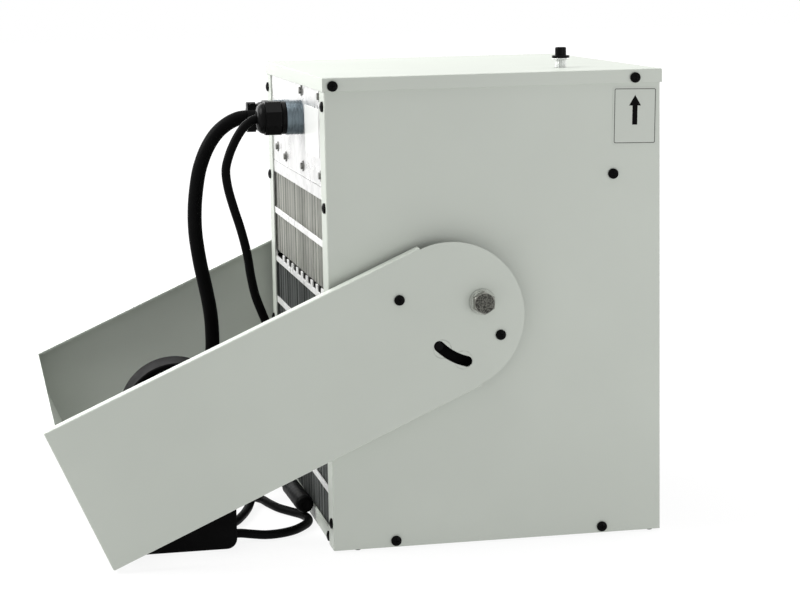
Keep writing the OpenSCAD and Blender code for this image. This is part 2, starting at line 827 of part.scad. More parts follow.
module reset_neck() {
    color("lightgray") translate([-reset_x, -reset_y, 0]) difference() {
        union() {
            translate([0, 0, cutout_top]) cylinder(d = cap_d, h = neck_top - cutout_top);
            translate([0, 0, lid_under - 3]) cylinder(d = collar_d, h = 3);
            translate([0, 0, neck_top - 1.3]) cylinder(d = collar_d - 0.6, h = 1.3);
        }
        translate([0, 0, cutout_top - 1]) cylinder(d = stem_d + 2 * run_fit, h = 60);
    }
}

module reset_collar() {
    color("black") translate([-reset_x, -reset_y, neck_top]) difference() {
        cylinder(d = collar_d, h = collar_h);
        translate([0, 0, -1]) cylinder(d = cap_d + 2 * run_fit, h = collar_h + 2);
    }
}

module reset_button() {
    color("black") translate([-reset_x, -reset_y, 0]) {
        translate([0, 0, cap_low]) cylinder(d = cap_d, h = cap_top - cap_low);
        translate([0, 0, cutout_top - 5]) cylinder(d = stem_d, h = cap_low - cutout_top + 5);
    }
}

module glands_at() {
    translate([-gland_x, 0, control_z]) children();
    translate([gland_x, 0, power_z]) children();
}

// Zinc sleeves with a threaded spigot through the plate and a locknut behind it
module gland_sleeves() {
    color("silver") glands_at() difference() {
        union() {
            rod_y(in_y, sleeve_end, 0, 0, sleeve_d);
            rod_y(seat_y - 12, in_y, 0, 0, spigot_d);
            translate([0, seat_y, 0]) rotate([90, 0, 0]) cylinder(d = 36, h = 6, $fn = 6);
        }
        rod_y(seat_y - 13, sleeve_end + 1, 0, 0, 18);
        for (y = [in_y + 3:3:sleeve_end - 1.5]) translate([0, y, 0]) rotate([90, 0, 0]) difference() {
            cylinder(d = sleeve_d + 1, h = 1);
            translate([0, 0, -1]) cylinder(d = sleeve_d - 1, h = 3);
        }
    }
}

// Black gland body: a ring, an eight-sided nut and a domed cap, seated for the cord
module gland(cord_d, l) {
    color("black") rotate([90, 0, 0]) difference() {
        union() {
            cylinder(d1 = cord_d + 9, d2 = sleeve_d - 3, h = dome_l, $fn = 48);
            translate([0, 0, dome_l]) rotate(22.5) cylinder(d = sleeve_d + 1.5, h = l - dome_l - 4, $fn = 8);
            translate([0, 0, l - 4]) cylinder(d = sleeve_d - 1.5, h = 4);
        }
        translate([0, 0, -1]) cylinder(d = cord_d + 2 * shank_fit, h = cord_seat + 1);
        translate([0, 0, -1]) cylinder(d1 = cord_d + 5, d2 = cord_d, h = 4);
    }
}

module control_gland() {
    translate([-gland_x, control_mouth, control_z]) gland(control_d, control_gland_l);
}

module power_gland() {
    translate([gland_x, power_mouth, power_z]) gland(power_d, power_gland_l);
}

// Two clamp jaws at the mouth of the power gland, with a screw above and below the cord
module gland_clamp() {
    ear = power_d / 2 + 3;
    translate([gland_x, power_mouth + clamp_l, power_z]) rotate([90, 0, 0]) {
        color("black") difference() {
            union() {
                cylinder(d = power_d + 8, h = clamp_l);
                intersection() {
                    translate([-6, -ear - 5, 0]) cube([12, 2 * ear + 10, clamp_l]);
                    cylinder(r = ear + 5, h = clamp_l);
                }
            }
            translate([0, 0, -1]) cylinder(d = power_d + 2 * shank_fit, h = clamp_l + 2);
            for (s = [-1, 1]) translate([-0.5, s * 14 - 8, -1]) cube([1, 16, clamp_l + 2]);
        }
        color("dimgray") for (s = [-1, 1]) translate([0, s * ear, clamp_l / 2]) {
            rod_x(-8.2, -6, 0, 0, 7.8);
            rod_x(-0.5, 0.5, 0, 0, 4);
        }
    }
}

module power_cord() {
    color("black") tube(power_route, power_d, 10);
}

// Closed sleeve shrunk on the power cord's end, along its last straight stretch
module cord_end_cap() {
    tip = power_route[len(power_route) - 1];
    back = tip - power_route[len(power_route) - 4];
    dive = asin(back[2] / norm(back));
    color("black") translate(tip) rotate([0, -90 + dive, 0]) difference() {
        union() {
            translate([0, 0, -cap_len]) cylinder(d = power_d + 2 * cap_wall, h = cap_len + 3);
            translate([0, 0, 3]) cylinder(d1 = power_d + 2 * cap_wall, d2 = power_d - 3, h = 4, $fn = 48);
        }
        translate([0, 0, -cap_len - 1]) cylinder(d = power_d + 2 * run_fit, h = cap_len + 1);
    }
}

module control_cord() {
    color("black") tube(control_route, control_d, 8);
}

// Outline of the control unit: an arch with rounded lower corners, drawn in and lying in XY
module unit_outline(inset) {
    r = unit_r - inset;
    c = max(unit_corner - inset, 1);
    translate([0, unit_arch_z]) circle(r = r, $fn = 96);
    translate([-r, c + inset]) square([2 * r, unit_arch_z - c - inset]);
    translate([-r + c, inset]) square([2 * (r - c), c + 0.01]);
    for (s = [-1, 1]) translate([s * (r - c), c + inset]) circle(r = c, $fn = 48);
}

// The outline raised along +X from x0 to x1, at the control unit's place
module unit_slab(x0, x1, inset) {
    translate([x0, unit_y, 0]) rotate([90, 0, 90]) linear_extrude(x1 - x0) unit_outline(inset);
}

module unit_screws_at() {
    for (y = [-1, 1], z = [18, unit_h - 62]) translate([0, unit_y + y * (unit_r - 12), z]) children();
}

module control_front_shell() {
    color("#181818") difference() {
        unit_slab(-unit_x, -unit_split, 0);
        unit_slab(-unit_x + unit_wall, -unit_split + 1, unit_wall);
        for (z = [dial_z, selector_z]) {
            rod_x(-unit_x - 1, -unit_x + unit_wall + 1, unit_y, z, knob_shaft_d + 2 * run_fit);
        }
    }
}

module control_back_shell() {
    color("#181818") difference() {
        union() {
            difference() {
                unit_slab(-unit_split, -unit_back, 0);
                unit_slab(-unit_split - 1, -unit_back - unit_wall, unit_wall);
            }
            unit_screws_at() rod_x(-unit_split, -unit_back - 1, 0, 0, 9);
        }
        unit_screws_at() rod_x(-unit_back - 14, -unit_back + 1, 0, 0, shank_d + 2 * shank_fit);
        rod_y(unit_side - 1, unit_side + entry_l, -entry_x, entry_z, grommet_d);
    }
}

board_depth = 12;
board_half = 34;
board_edge = 36;
board_t = 1.6;
switch_d = 22;

// Circuit board with the thermostat and the selector switch on it
module control_board() {
    x = -unit_x + unit_wall + board_depth;
    color("darkgreen") block([x, unit_y - board_half, board_edge],
        [x + board_t, unit_y + board_half, unit_h - board_edge]);
    color("darkgreen") for (z = [dial_z, selector_z]) difference() {
        rod_x(-unit_x + unit_wall, x, unit_y, z, switch_d);
        rod_x(-unit_x + unit_wall - 1, -unit_x + unit_wall + 9, unit_y, z, knob_shaft_d + 2 * run_fit);
    }
}

// Knob with a skirt, a grip and a pointer rib
module knob(z, d) {
    color("#202020") translate([-unit_x - 0.5, unit_y, z]) rotate([0, -90, 0]) {
        cylinder(d = d, h = 4);
        cylinder(d = d - 8, h = knob_h);
        translate([0, -2, 0]) cube([d / 2 - 1, 4, knob_h]);
        translate([0, 0, -unit_wall - 8]) cylinder(d = knob_shaft_d, h = unit_wall + 9);
    }
}

module thermostat_knob() {
    knob(dial_z, dial_d);
}

module selector_knob() {
    knob(selector_z, selector_d);
}

module control_screws() {
    color("silver") unit_screws_at() {
        rod_x(-unit_back, -unit_back + 2, 0, 0, 7.5);
        rod_x(-unit_back - 12, -unit_back, 0, 0, shank_d);
    }
}

// Rubber ring where the control cord enters the unit
module cord_grommet() {
    color("black") difference() {
        rod_y(unit_side - 1.5, unit_side + entry_l, -entry_x, entry_z, grommet_d);
        rod_y(unit_side - 3, unit_side + entry_l + 1, -entry_x, entry_z, control_d + 2 * shank_fit);
    }
}

// Turns the bracket's own frame, whose +Y runs from the pivot to the web, to the rest pose
module at_pivot() {
    translate([0, pivot_y, pivot_z]) rotate([-tilt, 0, 0]) children();
}

// Cuts the arc slot about the pivot through a piece, from x0 to x1: the round ends, then the band
module slotted(x0, x1) {
    ends = [slot_from, slot_from + slot_span];
    difference() {
        difference() {
            children();
            for (a = ends) rod_x(x0, x1, slot_r * cos(a), -slot_r * sin(a), slot_w);
        }
        translate([x0, 0, 0]) rotate([-ends[1], 0, 0]) rotate([90, 0, 90]) rotate_extrude(angle = slot_span)
            translate([slot_r - slot_w / 2, 0]) square([slot_w, x1 - x0]);
    }
}

module pad_screws_at() {
    for (s = [-1, 1]) translate([0, pad_offset + s * pad_screw, s * pad_screw]) children();
}

// One arm with its flanges and its round end
module arm() {
    end_r = arm_w / 2 - arm_t;
    slotted(-arm_out - 1, -arm_in + 1) difference() {
        union() {
            block([-arm_out, end_offset, -end_r], [-arm_in, arm_l, end_r]);
            rod_x(-arm_out, -arm_in, end_offset, 0, 2 * end_r);
            for (s = [-1, 1]) {
                z = s > 0 ? end_r : -arm_w / 2;
                block([-arm_out, end_offset, z], [-arm_out + arm_flange, arm_l, z + arm_t]);
            }
        }
        rod_x(-arm_out - 1, -arm_in + 1, 0, 0, arm_bore_d);
        pad_screws_at() rod_x(-arm_out - 1, -arm_in + 1, 0, 0, shank_d + 2 * shank_fit);
    }
}

module tilt_bracket() {
    color("whitesmoke") at_pivot() {
        both_sides() arm();
        difference() {
            union() {
                block([-arm_out, arm_l - arm_t, -arm_w / 2], [arm_out, arm_l, arm_w / 2]);
                for (z = [-arm_w / 2, arm_w / 2 - arm_t]) {
                    block([-arm_out, arm_l - arm_flange, z], [arm_out, arm_l, z + arm_t]);
                }
            }
            for (x = [-1, 1]) {
                rod_y(arm_l - arm_t - 1, arm_l + 1, x * wall_hole_gap / 2, 0, wall_hole_d);
            }
        }
    }
}

// Plastic pad that spaces an arm off its side panel
module pad() {
    outer = -arm_in;
    inner = -half_w - slide_gap;
    slotted(outer - 1, inner + 1) difference() {
        rod_x(outer, inner, pad_offset, 0, 2 * pad_r);
        rod_x(outer - 1, inner + 1, 0, 0, arm_bore_d);
        pad_screws_at() rod_x(outer - 1, outer + 8, 0, 0, shank_d + 2 * shank_fit);
    }
}

module pivot_pads() {
    color("black") at_pivot() both_sides() pad();
}

module pad_screws() {
    color("black") at_pivot() both_sides() pad_screws_at() {
        translate([-arm_out, 0, 0]) rotate([0, -90, 0]) pan_head();
        rod_x(-arm_out, -arm_in + 7.5, 0, 0, shank_d);
    }
}

module pivot_bolts() {
    low = arm_out + slide_gap + washer_t + spring_washer_t;
    color("silver") both_sides() translate([0, pivot_y, pivot_z]) {
        translate([-low, 0, 0]) rotate([0, -90, 0]) intersection() {
            cylinder(d = bolt_af / cos(30), h = bolt_head_h, $fn = 6);
            rise = 2 * bolt_head_h;
            translate([0, 0, bolt_head_h - rise])
                cylinder(r1 = bolt_af / 2 + rise, r2 = bolt_af / 2 - 0.6, h = rise, $fn = 64);
        }
        rod_x(-low, -in_w + plate_t + nut_h + 2, 0, 0, bolt_d);
    }
}

module pivot_washers() {
    low = arm_out + slide_gap;
    color("silver") both_sides() difference() {
        union() {
            rod_x(-low - washer_t, -low, pivot_y, pivot_z, washer_d);
            rod_x(-low - washer_t - spring_washer_t, -low, pivot_y, pivot_z, bolt_af + 1.4);
        }
        rod_x(-low - washer_t - 5, -low + 1, pivot_y, pivot_z, arm_bore_d);
    }
}

// Plates with a welded nut, behind each side panel
module pivot_plates() {
    color("gainsboro") both_sides() difference() {
        union() {
            block([-in_w, pivot_y - plate_w / 2, pivot_z - plate_h / 2],
                [-in_w + plate_t, pivot_y + plate_w / 2, pivot_z + plate_h / 2]);
            translate([-in_w + plate_t, pivot_y, pivot_z]) rotate([0, 90, 0])
                cylinder(d = bolt_af / cos(30), h = nut_h, $fn = 6);
        }
        rod_x(-in_w - 1, -in_w + plate_t + nut_h + 1, pivot_y, pivot_z, arm_bore_d);
    }
}

// Studs on the side panels that stop the bracket at the ends of its arc slots
module stop_studs() {
    color("black") both_sides() {
        rod_x(-arm_out + 0.5, -in_w + 4, stop_y, stop_z, stud_d);
        rod_x(-in_w, -in_w + 3, stop_y, stop_z, stud_d + 6);
    }
}

module casing_screws() {
    color("black") {
        both_sides() {
            side_shanks(0);
            for (y = lid_screw_y) {
                translate([-half_w - sheet_t, y, lid_screw_z]) rotate([0, -90, 0]) pan_head();
            }
            for (y = pan_screw_y) {
                translate([-half_w, y, pan_screw_z]) rotate([0, -90, 0]) pan_head();
            }
            translate([-half_w, shelf_screw_y, shelf_screw_z]) rotate([0, -90, 0]) pan_head();
        }
        rear_shanks(0);
        for (x = [-rear_screw_x, rear_screw_x], z = rear_screw_z) {
            translate([x, half_d, z]) rotate([-90, 0, 0]) pan_head();
        }
        translate([-pan_rear_screw_x, in_y, pan_screw_z]) rotate([-90, 0, 0]) pan_head();
    }
}

// Screw with a toothed washer under its head
module star_screw() {
    for (k = [0:5]) rotate(60 * k + 15) translate([0, -1, 0]) cube([star_d / 2 + 0.8, 2, 1]);
    cylinder(d = star_d, h = 1);
    cylinder(d = 6.5, h = star_h);
}

module star_screws() {
    color("silver") {
        star_shanks(0);
        for (x = star_x, z = star_z) translate([x, in_y, z]) rotate([-90, 0, 0]) star_screw();
        for (q = star_far) translate([q[0], in_y, q[1]]) rotate([-90, 0, 0]) star_screw();
    }
}

// Feet pushed through the base from inside, with a rim that stops them
module base_feet() {
    color("black") feet_at() {
        translate([0, 0, -foot_h]) cylinder(d = foot_d, h = foot_h + sheet_t);
        translate([0, 0, sheet_t]) cylinder(d = foot_d + 2, h = foot_rim);
    }
}

label_t = 0.4;
label_y = -half_d + 2.5;
label_drop = 72.8;
label_low = lid_top - label_drop;
arrow_half = 2.4;
arrow_head_half = 5.7;
arrow_low = 20;
arrow_neck = 38;
arrow_tip = 48;
arrow_t = 0.2;
rating_w = 82;
rating_h = 46;
rating_gap = 22;
rating_rise = 14;

// The arrow's label on the left panel, and a bare plate beside the glands
module label_plates() {
    mid = label_y + label_w / 2;
    color("white") {
        block([-half_w - label_t, label_y, label_low], [-half_w, label_y + label_w, label_low + label_h]);
        translate([-half_w - label_t, mid, label_low]) rotate([90, 0, -90]) linear_extrude(arrow_t) {
            polygon([[-arrow_half, arrow_low], [arrow_half, arrow_low], [arrow_half, arrow_neck],
                [arrow_head_half, arrow_neck], [0, arrow_tip], [-arrow_head_half, arrow_neck],
                [-arrow_half, arrow_neck]]);
        }
        translate([-gland_x - rating_gap - rating_w, in_y, control_z - rating_h + rating_rise])
            cube([rating_w, label_t, rating_h]);
    }
}

base_pan();
side_panel_left();
side_panel_right();
top_lid();
front_panel();
rear_plate();
divider_shelf();
mid_rail();
fin_bars();
fins_upper();
fins_lower();
vane_carrier_left();
vane_carrier_right();
vane(1);  // vane_1
vane(2);  // vane_2
vane(3);  // vane_3
vane(4);  // vane_4
vane(5);  // vane_5
vane(6);  // vane_6
fan_shroud();
motor_strap();
fan_motor();
motor_bearings();
motor_shaft();
fan_rotor();
heating_elements();
element_support();
mounting_rail();
terminal_block();
contactors();
cutout_bracket();
cutout_body();
reset_neck();
reset_collar();
reset_button();
gland_sleeves();
control_gland();
power_gland();
gland_clamp();
power_cord();
cord_end_cap();
control_cord();
control_front_shell();
control_back_shell();
control_board();
thermostat_knob();
selector_knob();
control_screws();
cord_grommet();
tilt_bracket();
pivot_pads();
pad_screws();
pivot_bolts();
pivot_washers();
pivot_plates();
stop_studs();
casing_screws();
star_screws();
base_feet();
label_plates();
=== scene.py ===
import json
import math
from functools import cached_property

import bmesh
import bpy
from mathutils import Matrix, Vector


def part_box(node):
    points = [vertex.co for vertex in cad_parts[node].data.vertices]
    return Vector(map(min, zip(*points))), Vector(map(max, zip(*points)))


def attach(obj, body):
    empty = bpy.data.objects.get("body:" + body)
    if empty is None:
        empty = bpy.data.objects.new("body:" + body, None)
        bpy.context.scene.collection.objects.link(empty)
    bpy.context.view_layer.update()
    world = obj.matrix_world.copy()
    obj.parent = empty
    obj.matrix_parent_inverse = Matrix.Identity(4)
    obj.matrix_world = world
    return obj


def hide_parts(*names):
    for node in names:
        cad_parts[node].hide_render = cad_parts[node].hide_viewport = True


bl_info = {
    "name": "Industrial fan heater",
    "version": (1, 0, 0),
    "blender": (4, 5, 0),
    "location": "3D View > Sidebar > Heater",
    "description": "Dresses a packed fan heater in folded, painted and moulded pieces",
    "category": "Object",
}

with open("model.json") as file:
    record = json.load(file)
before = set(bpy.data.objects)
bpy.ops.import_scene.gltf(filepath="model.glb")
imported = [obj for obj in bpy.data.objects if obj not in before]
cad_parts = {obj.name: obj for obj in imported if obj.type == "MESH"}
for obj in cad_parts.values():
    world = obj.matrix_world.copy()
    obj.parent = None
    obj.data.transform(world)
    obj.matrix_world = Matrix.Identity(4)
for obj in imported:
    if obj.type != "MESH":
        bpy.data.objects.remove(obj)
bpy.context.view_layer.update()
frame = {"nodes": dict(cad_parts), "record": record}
BODIES = frame["record"]["behaviour"]["bodies"]
BODY_OF = {node: body for body, nodes in BODIES.items() for node in nodes}
SLOT_OF = {part["node"]: part["material_slot"] for part in frame["record"]["subparts"]}
MM = 0.001

# Routes of the cords, in millimetres, as in the part's source
CONTROL_ROUTE = [
    (-40, 194, 402.5), (-40, 202, 402.5), (-40, 209.5, 400), (-40, 216.5, 394.5),
    (-40, 222.5, 386.5), (-40, 227.5, 377.5), (-40, 232, 367), (-40, 235.5, 353), (-40, 234, 336),
    (-40, 229, 316), (-40, 222.5, 294), (-40, 217, 270), (-40, 214, 248), (-40, 210, 228),
    (-40, 203, 208), (-36, 196, 190), (-27, 191, 170), (-13, 189, 148), (5, 189, 126),
    (24, 190, 104), (41, 192, 82), (50, 196, 60), (48, 201, 40), (37, 206, 23), (20, 211, 11),
    (0, 217, 5.5), (-20, 223, 4.6), (-40, 230, 4.6), (-60, 239, 4.6), (-76, 252, 4.6),
    (-86, 270, 4.6), (-88, 291, 4.6), (-81, 311, 4.6), (-66, 327, 4.6), (-45, 336, 4.6),
    (-20, 338, 4.6), (5, 333, 4.6), (28, 322, 4.6), (47, 305, 4.6), (59, 283, 4.6),
    (63, 259, 4.6), (58, 236, 4.6), (46, 216, 4.6), (28, 202, 4.6), (6, 196, 4.6),
    (-16, 189, 4.6), (-34, 179, 4.6), (-48, 171, 4.6), (-64, 167, 4.6), (-80, 169, 4.6),
    (-95, 177, 4.6), (-108, 188, 4.6), (-116, 202, 4.6), (-119, 217, 5), (-120, 231, 7),
    (-120, 241.5, 8.5), (-120, 251, 8.5)]
POWER_ROUTE = [
    (40, 185, 398.5), (40, 204, 398.5), (40, 214, 396.8), (40, 224.5, 391.5), (40, 234.5, 383),
    (40, 243, 371), (40, 249.5, 357), (40, 254.5, 340), (40, 258.5, 312), (40, 259, 284),
    (40, 255.5, 254), (40, 250.5, 227), (40, 246.5, 203), (40.5, 245, 180), (43, 245.5, 157),
    (49, 250, 133), (60, 259, 109), (77, 266, 86), (98, 268, 65), (120, 263, 47),
    (139, 250, 33), (151, 231, 22), (153, 210, 13.5), (145, 191, 9), (129, 177.5, 7.6),
    (106, 170.5, 8.3), (80, 169.5, 11), (59, 169.5, 13.6), (38, 169.5, 15.2), (10, 169.5, 16.2),
    (-18, 169.5, 17.2), (-46, 169.5, 18.2), (-60, 169.5, 18.7)]

# The photograph's camera: its place, its forward, across and up axes, and its roll in degrees
CAMERA_SPOT = (-2.17903, 0.49173, 0.55355)
CAMERA_AXES = ((0.969076, -0.193723, -0.152849), (-0.19603, -0.98060, 0), (0.14988, -0.02996, 0.98825))
CAMERA_ROLL = -1.0473

# Square lamps: name, place, side in metres, power in watts and colour. All face LAMP_AIM
LAMPS = (
    ("rear_lamp", (0.2, 2.1, 1.9), 1.4, 70, (1.0, 1.0, 0.99)),
    ("side_lamp", (-1.4, -0.7, 0.12), 0.8, 6, (1.0, 1.0, 1.0)),
    ("front_lamp", (0.7, -2.8, 1.5), 2.2, 40, (1.0, 0.99, 0.98)),
    ("far_lamp", (2.7, 1.0, 1.4), 2.2, 34, (1.0, 1.0, 1.0)),
    ("top_lamp", (0.1, -0.2, 2.8), 2.0, 24, (1.0, 1.0, 1.0)))
LAMP_AIM = (0, 0.08, 0.22)

# Strength of the white sky as light and as what is seen
SKY_LIGHT, SKY_SHOWN = 0.42, 1.0

# The floor: half its side, its height, the grey that takes the shadow, and its glow
FLOOR_HALF, FLOOR_Z = 14, -0.0002
FLOOR_GREY, FLOOR_GLOW = 0.58, 1.16

# Worn rings on the bracket's arms, near both ends of the slot and round the bolt: y, z and radius
ARM_RINGS = ((0.0573, 0.1935, 0.0086), (0.0372, 0.1822, 0.0086), (0.0185, 0.2365, 0.0122))

# The control unit: its knobs with their numbers of dial marks, the x where the knobs' skirts
# start, just off the front shell, and the y and z of its back shell's screws
KNOBS = (("thermostat_knob", 11), ("selector_knob", 4))
KNOB_SEAT = -0.1455
UNIT_SCREWS = [(0.3 + y, z) for y in (-0.0405, 0.0405) for z in (0.018, 0.121)]

# The arrow's label: y and z of its middle, width and height, and its turn in degrees
LABEL_SPOT, LABEL_SIZE, LABEL_SKEW = (-0.136, 0.4039), (0.0438, 0.0548), -1.3

# The bare plate beside the glands: x and z of its middle, width and height
PLATE_SPOT, PLATE_SIZE = (-0.103, 0.3935), (0.082, 0.046)


class Signal:
    """A shader socket that does sums: an expression on it adds Math nodes."""

    def __init__(self, graph, socket):
        self.graph, self.socket = graph, socket

    def _sum(self, operation, first, second):
        return self.graph.node("ShaderNodeMath", {"operation": operation}, {0: first, 1: second})

    def __add__(self, other):
        return self._sum("ADD", self, other)

    __radd__ = __add__

    def __sub__(self, other):
        return self._sum("SUBTRACT", self, other)

    def __mul__(self, other):
        return self._sum("MULTIPLY", self, other)

    __rmul__ = __mul__

    def __truediv__(self, other):
        return self._sum("DIVIDE", self, other)

    def below(self, other):
        return self._sum("LESS_THAN", self, other)


class Graph:
    """The node tree of a new material, or of the world that is given."""

    def __init__(self, name, world=None):
        self.owner = world or bpy.data.materials.new(name)
        self.owner.use_nodes = True
        self.tree = self.owner.node_tree
        self.tree.nodes.clear()

    @cached_property
    def spot(self):
        """The place on the piece."""
        return self.node("ShaderNodeTexCoord", out="Object")

    def node(self, kind, settings=None, sockets=None, out=0):
        """Adds a node: its settings first, then the values and links of its sockets."""
        made = self.tree.nodes.new(kind)
        for key, value in (settings or {}).items():
            if key == "stops":
                ramp = made.color_ramp
                while len(ramp.elements) < len(value):
                    ramp.elements.new(0.5)
                for stop, (place, colour) in zip(ramp.elements, value):
                    stop.position, stop.color = place, (*colour, 1)
            else:
                setattr(made, key, value)
        for key, value in (sockets or {}).items():
            if isinstance(value, Signal):
                self.tree.links.new(value.socket, made.inputs[key])
            else:
                made.inputs[key].default_value = value
        return Signal(self, made.outputs[out])

    def noise(self, scale, detail=3, rough=0.5, spot=None):
        return self.node("ShaderNodeTexNoise", None, {
            "Vector": spot or self.spot, "Scale": scale, "Detail": detail, "Roughness": rough})

    def stretched(self, x, y, z):
        """The place on the piece, with each axis drawn out or pressed together."""
        return self.node("ShaderNodeMapping", None, {"Vector": self.spot, "Scale": (x, y, z)})

    def axis(self, name):
        return self.node("ShaderNodeSeparateXYZ", None, {0: self.spot}, out=name)

    def span(self, value, low, high, new_low=0.0, new_high=1.0):
        """Value from low to high drawn out to the new range, smoothly, and held at its ends."""
        return self.node("ShaderNodeMapRange", {"interpolation_type": "SMOOTHSTEP"}, {
            "Value": value, "From Min": low, "From Max": high, "To Min": new_low, "To Max": new_high})

    def blend(self, factor, low, high):
        """Colour between low and high."""
        def full(colour):
            return colour if isinstance(colour, Signal) else (*colour, 1)
        return self.node("ShaderNodeMix", {"data_type": "RGBA"}, {
            "Factor": factor, 6: full(low), 7: full(high)}, out=2)

    def relief(self, height, depth, strength=1.0):
        return self.node("ShaderNodeBump", None, {
            "Height": height, "Distance": depth, "Strength": strength})

    def surface(self, **sockets):
        """Closes the tree with a principled surface and gives the material back."""
        named = {key.replace("_", " "): value for key, value in sockets.items()}
        for key, value in named.items():
            if key in ("Base Color", "Emission Color") and not isinstance(value, Signal):
                named[key] = (*value, 1)
        shader = self.node("ShaderNodeBsdfPrincipled", None, named)
        self.close(shader)
        return self.owner

    def close(self, shader, kind="ShaderNodeOutputMaterial"):
        """Ends the tree in the shader."""
        end = self.tree.nodes.new(kind)
        self.tree.links.new(shader.socket, end.inputs["Surface"])

    def seen(self):
        """1 on the rays that see a backdrop directly, by a reflection or through something clear."""
        camera, glossy, through = (self.node("ShaderNodeLightPath", out=name) for name in (
            "Is Camera Ray", "Is Glossy Ray", "Is Transmission Ray"))
        indirect = self.node("ShaderNodeMath", {"operation": "MAXIMUM"}, {0: glossy, 1: through})
        return self.node("ShaderNodeMath", {"operation": "MAXIMUM"}, {0: camera, 1: indirect})


def powder_coat(name, colour, rings=()):
    """Satin powder coat: a fine peel, slow changes of tint, faint rubbed marks and worn rings."""
    g = Graph(name)
    cloud = g.noise(6, 3)
    peel = g.noise(900, 2)
    rubbed = g.span(g.noise(26, 6, 0.62, g.stretched(1, 0.35, 1)), 0.60, 0.72)
    tint = g.blend(g.span(cloud, 0.3, 0.7), [c * 0.975 for c in colour], [min(1, c * 1.02) for c in colour])
    rough = 0.40 + 0.10 * cloud + 0.06 * rubbed
    height = peel
    for y, z, radius in rings:
        place = g.node("ShaderNodeVectorMath", {"operation": "SUBTRACT"}, {
            0: g.node("ShaderNodeMapping", None, {"Vector": g.spot, "Scale": (0, 1, 1)}), 1: (0, y, z)})
        away = g.node("ShaderNodeVectorMath", {"operation": "LENGTH"}, {0: place}, out="Value")
        line = g.span(g.node("ShaderNodeMath", {"operation": "ABSOLUTE"}, {0: away - radius}),
                      0.0002, 0.0009, 1, 0) * (0.35 + 0.65 * g.span(g.noise(160, 2), 0.42, 0.58))
        tint = g.blend(0.45 * line, tint, [c * 0.42 for c in colour])
        height = height - 0.8 * line
        rough = rough + 0.15 * line
    return g.surface(Base_Color=tint, Roughness=rough, Normal=g.relief(height, 0.00012, 0.35))


def galvanised(name, bright=0.80, dark=0.66, metal=0.75):
    """Zinc-coated sheet: leaf-shaped crystals, each with its own tone and gloss."""
    g = Graph(name)
    wander = g.node("ShaderNodeVectorMath", {"operation": "ADD"}, {
        0: g.spot, 1: g.node("ShaderNodeVectorMath", {"operation": "SCALE"}, {
            0: g.node("ShaderNodeTexNoise", None, {"Vector": g.spot, "Scale": 90, "Detail": 2}, out="Color"),
            "Scale": 0.006})})
    leaf = g.node("ShaderNodeTexVoronoi", {"feature": "F1"}, {"Vector": wander, "Scale": 110}, out="Color")
    tone = g.node("ShaderNodeSeparateColor", None, {0: leaf}, out="Red")
    gloss = g.node("ShaderNodeSeparateColor", None, {0: leaf}, out="Green")
    stain = g.span(g.noise(14, 4), 0.52, 0.75)
    tint = g.blend(tone, (dark, dark, dark * 0.99), (bright, bright, bright * 0.99))
    tint = g.blend(0.35 * stain, tint, (0.55, 0.56, 0.56))
    return g.surface(Base_Color=tint, Metallic=metal, Roughness=0.26 + 0.16 * gloss + 0.12 * stain,
                     Normal=g.relief(g.noise(700, 2, 0.6, g.stretched(0.15, 1, 1)), 0.00006, 0.4))


def mill_aluminium(name, low, high, pitch, metal=0.85):
    """Rolled aluminium: drawn streaks along the strip and a different tone from strip to strip."""
    g = Graph(name)
    count = g.node("ShaderNodeMath", {"operation": "ROUND"}, {0: g.axis("X") / pitch})
    strip = g.node("ShaderNodeTexWhiteNoise", {"noise_dimensions": "1D"}, {"W": count})
    pair = g.node("ShaderNodeMath", {"operation": "PINGPONG"}, {0: count, 1: 1.0})
    streak = g.noise(60, 4, 0.7, g.stretched(1, 1, 0.06))
    grime = g.span(g.noise(22, 5, 0.65, g.stretched(1, 1, 0.4)), 0.45, 0.72)
    tint = g.blend(0.40 * pair + 0.45 * strip + 0.15 * g.span(streak, 0.3, 0.7), low, high)
    tint = g.blend(0.30 * grime, tint, [c * 0.45 for c in low])
    return g.surface(Base_Color=tint, Metallic=metal, Roughness=0.34 + 0.22 * grime,
                     Normal=g.relief(streak, 0.00008, 0.5))


def moulded(name, colour, rough, gloss=0.5, grain=1600, depth=0.00008):
    """Moulded plastic with a fine spark-eroded grain and fingered patches."""
    g = Graph(name)
    pits = g.noise(grain, 2, 0.6)
    handled = g.span(g.noise(32, 4, 0.6), 0.42, 0.70)
    tint = g.blend(handled, colour, [c * 1.6 for c in colour])
    return g.surface(Base_Color=tint, Roughness=rough + 0.10 * handled + 0.05 * pits,
                     Specular_IOR_Level=gloss, Normal=g.relief(pits, depth, 0.5))


def rubber(name, colour):
    """Cord rubber and feet: matt, with a faint bloom and fine drawn lines."""
    g = Graph(name)
    lines = g.noise(420, 3, 0.6)
    bloom = g.span(g.noise(70, 5, 0.65), 0.50, 0.78)
    tint = g.blend(0.5 * bloom, colour, [2 * c for c in colour])
    return g.surface(Base_Color=tint, Roughness=0.44 + 0.18 * bloom, Specular_IOR_Level=0.03,
                     Normal=g.relief(lines, 0.00010, 0.45))


